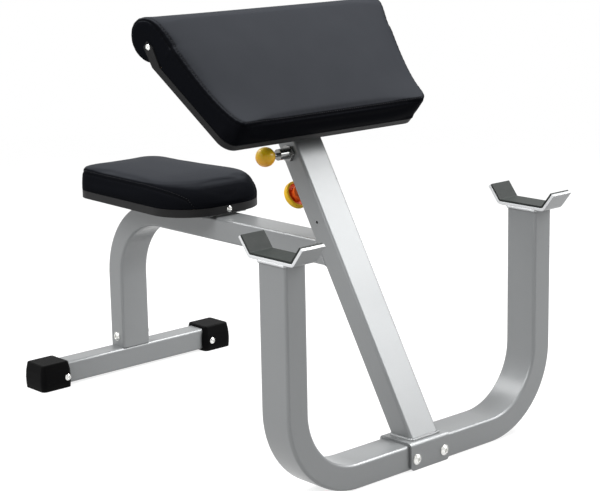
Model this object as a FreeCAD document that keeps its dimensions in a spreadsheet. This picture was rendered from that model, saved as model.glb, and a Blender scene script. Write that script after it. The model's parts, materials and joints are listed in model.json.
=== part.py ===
import FreeCAD, Part
import math
import os
import re
import Sketcher

# A preacher curl bench in millimetres and degrees. X points from the seat to the bar cradles,
# Y to the sitter's left and Z up. The origin is on the floor under the middle of the bench.
sizes = {
    # frame tube
    "tube_width": 75,
    "tube_depth": 50,
    "tube_wall": 2.5,
    "tube_corner": 6,
    # base with its two uprights
    "wheelbase": 927,
    "upright_gap": 670,
    "upright_height": 458,
    "base_bend": 150,
    # bar cradles and their rubber liners
    "cradle_width": 54,
    "cradle_plate": 6,
    "cradle_floor": 116,
    "cradle_reach": 86,
    "cradle_bend": 10,
    "wing_angle": 52,
    "liner_thick": 4,
    "liner_short": 1,
    "liner_gap": 0.1,
    # saddle that clamps the post to the base
    "saddle_length": 106,
    "saddle_plate": 5,
    "saddle_bend": 3,
    "saddle_fit": 0.2,
    "saddle_lift": 0.5,
    "saddle_snip": 6,
    "saddle_bolt_gap": 76,
    "saddle_bolt_height": 22,
    # leaning post
    "lean": 30.5,
    "post_length": 663,
    "hang_hole": 6,
    "hang_drop": 207,
    # sliding guide in the post
    "bushing_wall": 2.1,
    "bushing_length": 162,
    "bushing_flange": 4,
    "bushing_fit": 0.1,
    "slide_fit": 0.3,
    # sliding tube of the arm pad
    "inner_wall": 2.5,
    "inner_corner": 4,
    "inner_rise": 123,
    "inner_tail": 99,
    "hole_pitch": 25,
    "hole_count": 5,
    "plug_flange": 4,
    "plug_core": 20,
    "plug_fit": 0.2,
    # seat rail, rear leg and stabiliser
    "rail_drop": 214.26,
    "leg_bend": 163,
    "stabiliser_side": 50,
    "stabiliser_length": 524,
    "foot_lift": 4,
    "socket_height": 46,
    "socket_wall": 3,
    "socket_fit": 0.2,
    "leg_bolt_rise": 24,
    # rubber boots on the stabiliser
    "cap_length": 80,
    "cap_side": 14,
    "cap_top": 6,
    "cap_end": 10,
    "cap_round": 12,
    "cap_taper": 4.5,
    "cap_tuck": 1.5,
    "cap_edge": 4,
    "cap_fit": 0.2,
    "cap_bolt_left": 22,
    "cap_bolt_right": 13,
    "cap_bolt_height": 24,
    # seat
    "seat_overhang": 39,
    "seat_length": 420,
    "seat_rear_half": 118,
    "seat_front_half": 137,
    "seat_rear_round": 58,
    "seat_front_round": 98,
    "seat_plate": 6,
    "seat_plate_length": 180,
    "seat_plate_width": 130,
    "seat_plate_setback": 20,
    "seat_bolt_inset": 14,
    "seat_rim": 17,
    "seat_foam": 55,
    "seat_crown": 5,
    "seat_edge": 12,
    "seat_waterfall": 52,
    # arm pad
    "pad_slope": 43.9,
    "pad_drop": 56,
    "pad_stand": 71,
    "pad_low_half": 255,
    "pad_flare": 0.205,
    "pad_corner": 32,
    "pad_rim": 14,
    "pad_foam": 47,
    "pad_crown": 8,
    "pad_edge": 11,
    "roll_up": 263,
    "roll_out": 30,
    "roll_radius": 47,
    "roll_round": 12,
    "ear_up": 250,
    "ear_out": 26,
    "ear_half": 8,
    "pad_plate": 5,
    "pad_plate_low": 58,
    "pad_plate_length": 157,
    "pad_plate_width": 200,
    "pad_bolt_inset": 15,
    "gusset_thick": 6,
    "gusset_gap": 44,
    "stop_gap": 0.3,
    # parts that both pads share
    "shroud_wall": 3,
    "plate_corner": 8,
    "foam_gap": 0.3,
    "foam_pinch": 3,
    "foam_bulge": 13,
    "crown_run": 45,
    # pull pin
    "pin_drop": 55,
    "pin_width": 10,
    "pin_stem": 8,
    "pin_collar": 16,
    "pin_collar_thick": 3,
    "pin_stroke": 6,
    "pin_clear": 0.4,
    "pin_nut_across": 30,
    "pin_nut_height": 8,
    "barrel_thread": 20,
    "barrel_width": 23,
    "barrel_length": 32,
    "barrel_chamber": 17,
    "barrel_nose": 6,
    "barrel_end": 4,
    "spring_wire": 1.4,
    "spring_turns": 5,
    "spring_gap": 0.25,
    "ball_width": 40,
    "ball_stand": 64.5,
    "ball_hole": 18,
    # tension knob
    "knob_drop": 124,
    "stud_width": 12,
    "stud_stand": 47,
    "tip_width": 11,
    "tip_thick": 3,
    "tension_nut_across": 22,
    "tension_nut_height": 14,
    "knob_width": 58,
    "knob_hub": 30,
    "knob_stand": 30,
    "knob_depth": 27,
    "knob_rim": 5.5,
    "knob_dish": 7,
    # clearances and fasteners
    "run_fit": 0.05,
    "bolt_fit": 0.3,
    "large_bolt": 10,
    "small_bolt": 8,
    "screw": 5,
    "head_share": 1.9,
    "head_rise": 0.5,
    "nut_share": 1.7,
    "nut_bevel": 2.5,
    "bolt_tail": 2,
    "washer_thick": 1.5,
    "washer_share": 2.1,
}

# lengths and places that follow from the sizes
derived = {
    "front_x": "(wheelbase + seat_overhang - cradle_reach) / 2",
    "rear_x": "front_x - wheelbase",
    "saddle_top": "tube_depth + saddle_plate",
    "saddle_half": "tube_width / 2 + saddle_fit",
    "cradle_z": "upright_height + cradle_plate / 2",
    "tip_x": "cradle_reach - cradle_plate / 2 * sin(wing_angle)",
    "tip_rise": "(tip_x - cradle_floor / 2) * tan(wing_angle)",
    "inner_width": "tube_width - 2 * (tube_wall + bushing_fit + bushing_wall + slide_fit)",
    "inner_depth": "tube_depth - 2 * (tube_wall + bushing_fit + bushing_wall + slide_fit)",
    "pin_along": "post_length - pin_drop",
    "knob_along": "post_length - knob_drop",
    "pad_along": "post_length - pad_drop",
    "inner_low": "pin_along - (hole_count - 1) * hole_pitch - inner_tail",
    "inner_high": "post_length + inner_rise",
    "gusset_foot": "post_length + bushing_flange + stop_gap",
    "stabiliser_top": "foot_lift + stabiliser_side",
    "beam_top": "saddle_top + post_length * cos(lean) - rail_drop",
    "beam_z": "beam_top - tube_depth / 2",
    "beam_reach": "wheelbase - (beam_z - saddle_top) * tan(lean)",
    "leg_bolt_z": "stabiliser_top + leg_bolt_rise",
    "cap_depth": "stabiliser_side + 2 * cap_side",
    "cap_height": "stabiliser_top + cap_top",
    "cap_inner": "stabiliser_length / 2 + cap_end + cap_fit - cap_length",
    "seat_x": "rear_x - seat_overhang",
    "seat_z": "beam_top + seat_plate",
    "seat_plate_x": "seat_length - seat_plate_setback - seat_plate_length / 2",
    "pad_x": "front_x + pad_stand * cos(lean) - pad_along * sin(lean)",
    "pad_z": "saddle_top + pad_stand * sin(lean) + pad_along * cos(lean)",
    "pad_board_end": "roll_up - roll_radius + 1",
    "pad_plate_u": "pad_plate_low + pad_plate_length / 2",
    "pin_tip": "pin_clear - (tube_width - inner_width) / 2",
    "collar_start": "barrel_nose + pin_stroke + pin_clear",
    "collar_end": "collar_start + pin_collar_thick",
    "chamber_end": "barrel_length - barrel_end",
    "tip_start": "slide_fit - (tube_depth - inner_depth) / 2",
    "stud_start": "tip_start + tip_thick + run_fit",
}

doc = FreeCAD.newDocument("preacher_curl_bench")
sheet = doc.addObject("Spreadsheet::Sheet", "Sizes")
for row, (name, number) in enumerate(sizes.items(), start=1):
    sheet.set(f"A{row}", name)
    sheet.set(f"B{row}", str(number))
    sheet.setAlias(f"B{row}", name)
doc.recompute()
pieces = []


# Expressions

def link(expression):
    """Write an expression of size names as one that the document can hold."""
    def known(match):
        word = match.group(0)
        if word in derived:
            return "(" + link(derived[word]) + ")"
        return "Sizes." + word if word in sizes else word
    return re.sub(r"[a-z_]+", known, str(expression))


def value(expression):
    """The number that an expression has now."""
    result = sheet.evalExpression(link(expression))
    return float(getattr(result, "Value", result))


def bind(thing, **settings):
    for field, expression in settings.items():
        thing.setExpression(field, link(expression))


# Frames: the post's own frame has its Z along the post and its X out of the post's front.
# The arm pad's own frame has its X down the slope and its Z out of the padded face.

def post_point(n, y, u):
    return (f"front_x + ({n}) * cos(lean) - ({u}) * sin(lean)", y,
            f"saddle_top + ({n}) * sin(lean) + ({u}) * cos(lean)")


def pad_point(u, y, t):
    return (f"pad_x - ({u}) * cos(pad_slope) + ({t}) * sin(pad_slope)", y,
            f"pad_z + ({u}) * sin(pad_slope) + ({t}) * cos(pad_slope)")


def place(thing, point=("0", "0", "0"), axis=(0, 0, 1), angle="0"):
    """Set a piece in the bench's frame, bound to the sheet."""
    spot = FreeCAD.Vector(*[value(part) for part in point])
    thing.Placement = FreeCAD.Placement(spot, FreeCAD.Rotation(FreeCAD.Vector(*axis), value(angle)))
    for letter, part in zip("xyz", point):
        thing.setExpression(f"Placement.Base.{letter}", link(part))
    if angle != "0":
        thing.setExpression("Placement.Rotation.Angle", link(angle))


back_tilt = {"axis": (0, -1, 0), "angle": "lean"}
pad_tilt = {"axis": (0, 1, 0), "angle": "pad_slope"}
rightward = {"axis": (1, 0, 0), "angle": "90"}
rearward = {"axis": (0, -1, 0), "angle": "90 + lean"}
post_frame = {"point": post_point("0", "0", "0"), **back_tilt}
pad_frame = {"point": ("pad_x", "0", "pad_z"), **pad_tilt}
seat_frame = {"point": ("seat_x", "0", "seat_z")}
pin_frame = {"point": post_point("0", "-tube_width / 2", "pin_along"), **rightward}
knob_frame = {"point": post_point("-tube_depth / 2", "0", "knob_along"), **rearward}


def keep(thing, label):
    thing.Label = label
    pieces.append(thing)
    return thing


# Sketches

def new_body(name, frame):
    body = doc.addObject("PartDesign::Body", name)
    body.AllowCompound = True
    place(body, **frame)
    return body


def new_sketch(body, role, offset=("0", "0", "0")):
    sketch = body.newObject("Sketcher::SketchObject", body.Name + "_sketch")
    plane = next(part for part in body.Origin.OriginFeatures if part.Role == role)
    sketch.AttachmentSupport = [(plane, "")]
    sketch.MapMode = "FlatFace"
    for letter, part in zip("xyz", offset):
        sketch.setExpression(f"AttachmentOffset.Base.{letter}", link(part))
    return sketch


def hold(sketch, geometry, spot, x, y):
    """Fix a point of the sketch at two expressions."""
    for kind, axis, part in (("DistanceX", -2, x), ("DistanceY", -1, y)):
        number = value(part)
        if number == 0:
            sketch.addConstraint(Sketcher.Constraint("PointOnObject", geometry, spot, axis))
            continue
        index = sketch.addConstraint(Sketcher.Constraint(kind, -1, 1, geometry, spot, number))
        sketch.setExpression(f"Constraints[{index}]", link(part))


def round_spots(before, corner, after, radius):
    """Where an arc of this radius leaves and joins two lines that meet in a corner, and its middle."""
    back = (before - corner).normalize()
    ahead = (after - corner).normalize()
    half = back.getAngle(ahead) / 2
    run = radius / math.tan(half)
    centre = corner + (back + ahead).normalize() * (radius / math.sin(half))
    middle = centre + (corner - centre).normalize() * radius
    return corner + back * run, middle, corner + ahead * run


def draw(sketch, corners, radii=None, closed=True):
    """Draw lines from corner to corner, with a tangent arc at each corner that has a radius."""
    radii = radii or [None] * len(corners)
    count = len(corners)
    spots = [FreeCAD.Vector(value(x), value(y), 0) for x, y in corners]
    starts, ends, arcs = list(spots), list(spots), {}
    for at, radius in enumerate(radii):
        if radius:
            bend = round_spots(spots[at - 1], spots[at], spots[(at + 1) % count], value(radius))
            ends[at], starts[at] = bend[0], bend[2]
            arcs[at] = sketch.addGeometry(Part.Arc(*bend))
    marks = []
    for spot, (x, y) in zip(spots, corners):
        marks.append(sketch.addGeometry(Part.Point(spot), True))
        hold(sketch, marks[-1], 1, x, y)
    sides = []
    for at in range(count if closed else count - 1):
        sides.append(sketch.addGeometry(Part.LineSegment(starts[at], ends[(at + 1) % count])))
    for at, side in enumerate(sides):
        for corner, spot in ((at, 1), ((at + 1) % count, 2)):
            mark = marks[corner]
            if corner not in arcs:
                sketch.addConstraint(Sketcher.Constraint("Coincident", side, spot, mark, 1))
                continue
            arc = arcs[corner]
            near = starts[corner] if spot == 1 else ends[corner]
            end = 1 if sketch.getPoint(arc, 1).distanceToPoint(near) < 1e-6 else 2
            sketch.addConstraint(Sketcher.Constraint("PointOnObject", mark, 1, side))
            sketch.addConstraint(Sketcher.Constraint("Tangent", side, spot, arc, end))
    for at, arc in arcs.items():
        index = sketch.addConstraint(Sketcher.Constraint("Radius", arc, value(radii[at])))
        sketch.setExpression(f"Constraints[{index}]", link(radii[at]))


def draw_box(sketch, across, along, corner):
    """A rounded rectangle about the sketch's origin."""
    x = f"({across}) / 2"
    y = f"({along}) / 2"
    corners = [(x, y), (f"-{x}", y), (f"-{x}", f"-{y}"), (x, f"-{y}")]
    draw(sketch, corners, [corner] * 4)


def draw_circle(sketch, x, y, width):
    spot = FreeCAD.Vector(value(x), value(y), 0)
    circle = sketch.addGeometry(Part.Circle(spot, FreeCAD.Vector(0, 0, 1), value(width) / 2))
    hold(sketch, circle, 3, x, y)
    index = sketch.addConstraint(Sketcher.Constraint("Diameter", circle, value(width)))
    sketch.setExpression(f"Constraints[{index}]", link(width))


# Features

def pad(body, sketch, length, both_ways=False):
    feature = body.newObject("PartDesign::Pad", body.Name + "_pad")
    feature.Profile = sketch
    feature.SideType = "Symmetric" if both_ways else "One side"
    bind(feature, Length=length)
    return feature


def cut(body, sketch, both_ways=False, flip=False, depth=None):
    """Cut a sketch out of the body and make sure that material went."""
    doc.recompute()
    before = body.Shape.Volume
    feature = body.newObject("PartDesign::Pocket", body.Name + "_pocket")
    feature.Profile = sketch
    feature.Reversed = flip
    feature.SideType = "Symmetric" if both_ways else "One side"
    if depth:
        bind(feature, Length=depth)
    else:
        feature.Type = "ThroughAll"
    doc.recompute()
    assert body.Shape.Volume < before, f"a cut in {body.Name} removed nothing"


def add_tube(body, across, along, corner, wall, length, offset=("0", "0", "0")):
    sketch = new_sketch(body, "XY_Plane", offset)
    draw_box(sketch, across, along, corner)
    draw_box(sketch, f"({across}) - 2 * ({wall})", f"({along}) - 2 * ({wall})", f"({corner}) - ({wall})")
    return pad(body, sketch, length)


def bent_tube(body, offset, across, along, plane, corners, radius):
    """A frame tube swept along a path of straight runs and tangent bends."""
    profile = new_sketch(body, "XY_Plane", offset)
    draw_box(profile, across, along, "tube_corner")
    draw_box(profile, f"{across} - 2 * tube_wall", f"{along} - 2 * tube_wall", "tube_corner - tube_wall")
    spine = new_sketch(body, plane)
    draw(spine, corners, [None] + [radius] * (len(corners) - 2) + [None], closed=False)
    doc.recompute()
    pipe = body.newObject("PartDesign::AdditivePipe", body.Name + "_pipe")
    pipe.Profile = profile
    pipe.Spine = (spine, [f"Edge{edge}" for edge in range(1, len(spine.Shape.Edges) + 1)])
    doc.recompute()


def turned(name, frame, corners, radii=None):
    """A piece turned about its own Z axis from (radius, height) corners."""
    body = new_body(name, frame)
    sketch = new_sketch(body, "XZ_Plane")
    draw(sketch, corners, radii)
    feature = body.newObject("PartDesign::Revolution", name + "_turn")
    feature.Profile = sketch
    feature.ReferenceAxis = (sketch, ["V_Axis"])
    return keep(body, name)


def hex_nut(name, frame, across, bore, height):
    body = new_body(name, frame)
    sketch = new_sketch(body, "XY_Plane")
    corner = f"({across}) / 2 / cos(30)"
    draw(sketch, [(f"{corner} * cos({60 * k})", f"{corner} * sin({60 * k})") for k in range(6)])
    draw_circle(sketch, "0", "0", bore)
    pad(body, sketch, height)
    return keep(body, name)


def solid_box(name, frame, length, width, height):
    box = doc.addObject("Part::Box", name)
    bind(box, Length=length, Width=width, Height=height)
    place(box, **frame)
    return box


def difference(label, base, tool):
    result = doc.addObject("Part::Cut", label)
    result.Base = base
    result.Tool = tool
    return keep(result, label)


# Fasteners: each is made along +Z with its seat at the origin, then aimed

def aimed(shape, point, direction):
    spot = FreeCAD.Vector(*[value(part) for part in point])
    turn = FreeCAD.Rotation(FreeCAD.Vector(0, 0, 1), direction)
    return shape.transformed(FreeCAD.Placement(spot, turn).toMatrix())


def dome_bolt(thread, length):
    """A bolt with a domed head above its seat and a plain shank below it."""
    radius = value(thread) / 2
    head = radius * value("head_share")
    rise = 2 * radius * value("head_rise")
    dome = (head * head + rise * rise) / (2 * rise)
    half = math.asin(head / dome) / 2
    shoulder = (dome * math.sin(half), rise - dome + dome * math.cos(half))
    spots = [(0, -length), (radius, -length), (radius, 0), (head, 0), shoulder, (0, rise)]
    corners = [FreeCAD.Vector(r, 0, z) for r, z in spots]
    edges = [Part.makeLine(a, b) for a, b in zip(corners[:3], corners[1:4])]
    edges.append(Part.Arc(*corners[3:]).toShape())
    edges.append(Part.makeLine(corners[-1], corners[0]))
    return Part.Face(Part.Wire(edges)).revolve(FreeCAD.Vector(), FreeCAD.Vector(0, 0, 1), 360)


def washer(thread):
    thick = value("washer_thick")
    ring = Part.makeCylinder(value(thread) / 2 * value("washer_share"), thick)
    return ring.cut(Part.makeCylinder(value(thread) / 2 + value("bolt_fit"), thick))


def nut(thread):
    """A hexagon nut as high as its thread is wide, with its corners turned down."""
    across = value(thread) * value("nut_share")
    rim = across / 2 / math.cos(math.pi / 6)
    corners = [FreeCAD.Vector(rim, 0, 0)]
    for step in range(6):
        corners.append(FreeCAD.Rotation(FreeCAD.Vector(0, 0, 1), 60).multVec(corners[-1]))
    height = value(thread)
    block = Part.Face(Part.makePolygon(corners)).extrude(FreeCAD.Vector(0, 0, height))
    bevel = value("nut_bevel")
    cone = Part.makeCone(rim + bevel, rim - bevel, height)
    hole = Part.makeCylinder(value(thread) / 2 + value("run_fit"), height)
    return block.common(cone).cut(hole)


def group(label, solids):
    """Like fasteners, kept together in one node."""
    feature = doc.addObject("Part::Feature", label)
    feature.Shape = Part.Compound(solids)
    return keep(feature, label)


# Base, cradles and saddle

def make_base():
    body = new_body("base_tube", {"point": ("front_x", "0", "0")})
    side = "upright_gap / 2"
    foot = "tube_depth / 2"
    top = "upright_height"
    path = [(f"-{side}", top), (f"-{side}", foot), (side, foot), (side, top)]
    bent_tube(body, ("0", f"-{side}", top), "tube_width", "tube_depth", "YZ_Plane", path, "base_bend")
    holes = new_sketch(body, "YZ_Plane")
    for sign in ("-", ""):
        draw_circle(holes, f"{sign}saddle_bolt_gap / 2", "saddle_bolt_height", "large_bolt + 2 * bolt_fit")
    cut(body, holes, both_ways=True)
    keep(body, "base_tube")


def cradle_line(offset, short):
    """Corners of a line this far inside the cradle's middle, which stops short of the wing tips."""
    tip = (f"tip_x - ({offset}) * sin(wing_angle) - ({short}) * cos(wing_angle)",
           f"tip_rise + ({offset}) * cos(wing_angle) - ({short}) * sin(wing_angle)")
    floor = (f"cradle_floor / 2 - ({offset}) * tan(wing_angle / 2)", offset)
    left = [(f"-({x})", y) for x, y in (tip, floor)]
    return left + [floor, tip]


def bent_plate(name, y, inside, outside, short):
    """A plate bent up at both ends, between two offsets from the cradle's middle."""
    body = new_body(name, {"point": ("front_x", y, "cradle_z")})
    sketch = new_sketch(body, "XZ_Plane")
    outline = cradle_line(outside, short) + cradle_line(inside, short)[::-1]
    outer = f"cradle_bend - ({outside})"
    inner = f"cradle_bend - ({inside})"
    draw(sketch, outline, [None, outer, outer, None, None, inner, inner, None])
    pad(body, sketch, "cradle_width", both_ways=True)
    keep(body, name)


def make_cradles():
    for side, y in (("left", "upright_gap / 2"), ("right", "-upright_gap / 2")):
        half = "cradle_plate / 2"
        bent_plate(f"cradle_{side}", y, half, f"-{half}", "0")
        seat = f"{half} + liner_gap"
        bent_plate(f"cradle_liner_{side}", y, f"{seat} + liner_thick", seat, "liner_short")


def make_saddle():
    body = new_body("saddle", {"point": ("front_x", "0", "0")})
    sketch = new_sketch(body, "XZ_Plane")
    wide = "(saddle_half + saddle_plate)"
    outside = [(wide, "saddle_lift"), (wide, "saddle_top"),
               (f"-{wide}", "saddle_top"), (f"-{wide}", "saddle_lift")]
    inside = [("-saddle_half", "saddle_lift"), ("-saddle_half", "tube_depth"),
              ("saddle_half", "tube_depth"), ("saddle_half", "saddle_lift")]
    bend = "saddle_bend + saddle_plate"
    draw(sketch, outside + inside, [None, bend, bend, None, None, "saddle_bend", "saddle_bend", None])
    pad(body, sketch, "saddle_length", both_ways=True)
    snips = new_sketch(body, "YZ_Plane")
    for sign in ("-", ""):
        end = f"{sign}saddle_length / 2"
        near = f"{sign}(saddle_length / 2 - saddle_snip)"
        draw(snips, [(near, "saddle_lift"), (end, "saddle_lift"), (end, "saddle_lift + saddle_snip")])
    cut(body, snips, both_ways=True)
    holes = new_sketch(body, "YZ_Plane")
    for sign in ("-", ""):
        draw_circle(holes, f"{sign}saddle_bolt_gap / 2", "saddle_bolt_height", "large_bolt + 2 * bolt_fit")
    cut(body, holes, both_ways=True)
    keep(body, "saddle")


def bolt_through(label, thread, spots, direction, grip):
    """Bolts with a washer under each head and each nut, through a joint this thick."""
    thick = value("washer_thick")
    length = value(grip) + 2 * thick + value(f"{thread} + bolt_tail")
    ahead = FreeCAD.Vector(*direction)
    heads = [aimed(dome_bolt(thread, length), spot, ahead) for spot in spots]
    for solid in heads:
        solid.translate(ahead * thick)
    washers = [aimed(washer(thread), spot, ahead) for spot in spots]
    nuts = []
    for spot in spots:
        far = aimed(washer(thread), spot, -ahead)
        far.translate(ahead * -value(grip))
        washers.append(far)
        end = aimed(nut(thread), spot, -ahead)
        end.translate(ahead * -(value(grip) + thick))
        nuts.append(end)
    plural = "s" if len(spots) > 1 else ""
    group(f"{label}_bolt{plural}", heads)
    group(f"{label}_washers", washers)
    group(f"{label}_nut{plural}", nuts)


def make_saddle_bolts():
    face = "front_x + saddle_half + saddle_plate"
    spots = [(face, f"{sign}saddle_bolt_gap / 2", "saddle_bolt_height") for sign in ("-", "")]
    bolt_through("saddle", "large_bolt", spots, (1, 0, 0), "2 * (saddle_half + saddle_plate)")


# Post, seat rail and stabiliser

def make_post():
    body = new_body("post_body", post_frame)
    under = "tube_depth * tan(lean)"
    add_tube(body, "tube_depth", "tube_width", "tube_corner", "tube_wall",
             f"post_length + {under}", ("0", "0", f"-{under}"))
    side = new_sketch(body, "XZ_Plane")
    draw_circle(side, "0", "pin_along", "barrel_thread + 2 * run_fit")
    draw_circle(side, "0", "post_length - hang_drop", "hang_hole")
    cut(body, side, flip=True)
    back = new_sketch(body, "YZ_Plane")
    draw_circle(back, "0", "knob_along", "stud_width + 2 * bolt_fit")
    cut(body, back)
    below = solid_box("saddle_block", {"point": ("front_x - tube_width", "-tube_width", "0")},
                      "2 * tube_width", "2 * tube_width", "saddle_top")
    difference("post_tube", body, below)


def make_bushing():
    body = new_body("post_bushing", post_frame)
    across = "tube_depth - 2 * (tube_wall + bushing_fit)"
    along = "tube_width - 2 * (tube_wall + bushing_fit)"
    add_tube(body, across, along, "tube_corner - tube_wall + bushing_wall / 2", "bushing_wall",
             "bushing_length", ("0", "0", "post_length - bushing_length"))
    add_tube(body, "tube_depth", "tube_width", "tube_corner", "tube_wall + bushing_fit + bushing_wall",
             "bushing_flange", ("0", "0", "post_length"))
    side = new_sketch(body, "XZ_Plane")
    draw_circle(side, "0", "pin_along", "pin_width + 2 * bolt_fit")
    cut(body, side, flip=True)
    back = new_sketch(body, "YZ_Plane")
    draw_circle(back, "0", "knob_along", "stud_width + 2 * bolt_fit")
    cut(body, back)
    keep(body, "post_bushing")


def make_seat_beam():
    body = new_body("beam_body", {"point": ("rear_x", "0", "0")})
    path = [("0", "stabiliser_top"), ("0", "beam_z"), ("beam_reach", "beam_z")]
    bent_tube(body, ("0", "0", "stabiliser_top"), "tube_depth", "tube_width", "XZ_Plane", path, "leg_bend")
    hole = new_sketch(body, "XZ_Plane")
    draw_circle(hole, "0", "leg_bolt_z", "large_bolt + 2 * bolt_fit")
    cut(body, hole, both_ways=True)
    corner = {"point": post_point("-tube_depth / 2", "-tube_width / 2", "0"), **back_tilt}
    block = solid_box("post_block", corner, "tube_depth", "tube_width", "post_length")
    difference("seat_beam", body, block)


def make_stabiliser():
    body = new_body("stabiliser_tube", {"point": ("rear_x", "0", "foot_lift + stabiliser_side / 2")})
    sketch = new_sketch(body, "XZ_Plane")
    draw_box(sketch, "stabiliser_side", "stabiliser_side", "tube_corner")
    inside = "stabiliser_side - 2 * tube_wall"
    draw_box(sketch, inside, inside, "tube_corner - tube_wall")
    pad(body, sketch, "stabiliser_length", both_ways=True)
    holes = new_sketch(body, "YZ_Plane", ("0", "-foot_lift - stabiliser_side / 2", "0"))
    for y in ("cap_inner + cap_bolt_left", "-(cap_inner + cap_bolt_right)"):
        draw_circle(holes, y, "cap_bolt_height", "small_bolt + 2 * bolt_fit")
    cut(body, holes, flip=True)
    keep(body, "stabiliser_tube")


def make_leg_socket():
    body = new_body("leg_socket", {"point": ("rear_x", "0", "0")})
    across = "tube_depth - 2 * (tube_wall + socket_fit)"
    along = "tube_width - 2 * (tube_wall + socket_fit)"
    add_tube(body, across, along, "tube_corner - tube_wall + socket_wall", "socket_wall",
             "socket_height", ("0", "0", "stabiliser_top"))
    hole = new_sketch(body, "XZ_Plane")
    draw_circle(hole, "0", "leg_bolt_z", "large_bolt + 2 * bolt_fit")
    cut(body, hole, both_ways=True)
    keep(body, "leg_socket")
    spot = ("rear_x", "-tube_width / 2", "leg_bolt_z")
    bolt_through("leg", "large_bolt", [spot], (0, -1, 0), "tube_width")


def boot_block(body):
    """A rubber block that swells to its widest at the bolt's height and tapers to a rounded top."""
    steps = []
    for share in (1, 0.5, 0):
        steps.append((f"cap_bolt_height * (1 - {share})", f"(cap_tuck * {share} * {share})"))
    for share in (0.5, 1):
        height = f"cap_bolt_height + {share} * (cap_height - cap_edge - cap_bolt_height)"
        steps.append((height, f"(cap_taper * {share} * {share})"))
    for angle in (30, 60, 90):
        height = f"cap_height - cap_edge * (1 - sin({angle}))"
        steps.append((height, f"(cap_taper + cap_edge * (1 - cos({angle})))"))
    sections = []
    for height, inset in steps:
        sketch = new_sketch(body, "XY_Plane", ("0", "0", height))
        draw_box(sketch, f"cap_depth - 2 * {inset}", f"cap_length - 2 * {inset}", f"cap_round - {inset}")
        sections.append(sketch)
    block = body.newObject("PartDesign::AdditiveLoft", body.Name + "_block")
    block.Profile = sections[0]
    block.Sections = sections[1:]
    block.Ruled = True


def make_end_caps():
    bolts = []
    for side, sign, outward in (("left", "", True), ("right", "-", False)):
        middle = f"{sign}(cap_inner + cap_length / 2)"
        body = new_body(f"end_cap_{side}", {"point": ("rear_x", middle, "0")})
        boot_block(body)
        mouth = "cap_length / 2" if outward else "-cap_length / 2"
        hollow = new_sketch(body, "XZ_Plane", ("0", "foot_lift + stabiliser_side / 2", mouth))
        room = "stabiliser_side + 2 * cap_fit"
        draw_box(hollow, room, room, "tube_corner")
        cut(body, hollow, flip=not outward, depth="cap_length - cap_end")
        hole = new_sketch(body, "YZ_Plane")
        inset = f"cap_bolt_{side}"
        draw_circle(hole, f"{sign}({inset} - cap_length / 2)", "cap_bolt_height", "small_bolt + 2 * bolt_fit")
        cut(body, hole, flip=True)
        keep(body, f"end_cap_{side}")
        spot = ("rear_x + cap_depth / 2", f"{sign}(cap_inner + {inset})", "cap_bolt_height")
        length = value("cap_side + 2 * tube_wall + small_bolt")
        bolts.append(aimed(dome_bolt("small_bolt", length), spot, FreeCAD.Vector(1, 0, 0)))
    group("end_cap_bolts", bolts)


# Padded pieces: a plan outline is four corners, each with its own rounding

def seat_corners(inset, front=None):
    """Plan of the seat, drawn in by this much, with X running forward from its rear edge."""
    front = inset if front is None else front
    rear_half = f"seat_rear_half - ({inset})"
    front_half = f"seat_front_half - ({inset})"
    return [(inset, f"-({rear_half})"), (f"seat_length - ({front})", f"-({front_half})"),
            (f"seat_length - ({front})", front_half), (inset, rear_half)]


def seat_rounds(inset):
    rear = f"seat_rear_round - ({inset})"
    front = f"seat_front_round - ({inset})"
    return [rear, front, front, rear]


def pad_half(u, inset):
    return f"pad_low_half + pad_flare * ({u}) - ({inset})"


def pad_corners(inset, top):
    """Plan of the arm pad from its lower edge up to a height on the slope, drawn in by this much."""
    low_half = pad_half(inset, inset)
    top_half = pad_half(top, inset)
    return [(f"-({inset})", f"-({low_half})"), (f"-({inset})", low_half),
            (f"-({top})", top_half), (f"-({top})", f"-({top_half})")]


def pad_pan_corners(inset):
    return pad_corners(inset, f"pad_board_end - ({inset})")


def pad_rounds(inset):
    low = f"pad_corner - ({inset})"
    return [low, low, "plate_corner", "plate_corner"]


def rounded_wire(corners, radii, height):
    """A closed outline of lines and arcs at one height."""
    spots = [FreeCAD.Vector(value(x), value(y), height) for x, y in corners]
    bends = []
    for at, radius in enumerate(radii):
        ahead = spots[(at + 1) % len(spots)]
        bends.append(round_spots(spots[at - 1], spots[at], ahead, value(radius)))
    edges = []
    for at, bend in enumerate(bends):
        edges.append(Part.makeLine(bends[at - 1][2], bend[0]))
        edges.append(Part.Arc(*bend).toShape())
    return Part.Wire(edges)


def crown_steps(foam, crown):
    """Heights and shares of the edge's roll-in, from a pinched seam up a rounded side to the crown."""
    bulge = value("foam_bulge")
    steps = []
    for degrees in (0, 30, 55, 78):
        angle = math.radians(degrees)
        steps.append((bulge + (foam - crown - bulge) * math.sin(angle), 1 - math.cos(angle)))
    return steps


def make_seat_plate():
    body = new_body("seat_plate", seat_frame)
    sketch = new_sketch(body, "XY_Plane", ("seat_plate_x", "0", "-seat_plate"))
    draw_box(sketch, "seat_plate_length", "seat_plate_width", "plate_corner")
    pad(body, sketch, "seat_plate")
    drill(body, seat_bolt_spots())
    keep(body, "seat_plate")


def seat_bolt_spots():
    reach = "(seat_plate_length / 2 - seat_bolt_inset)"
    half = "(seat_plate_width / 2 - seat_bolt_inset)"
    return [(f"seat_plate_x + {a}{reach}", f"{b}{half}") for a in ("-", "") for b in ("-", "")]


def pad_bolt_spots():
    reach = "(pad_plate_length / 2 - pad_bolt_inset)"
    half = "(pad_plate_width / 2 - pad_bolt_inset)"
    return [(f"-pad_plate_u + {a}{reach}", f"{b}{half}") for a in ("-", "") for b in ("-", "")]


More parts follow.
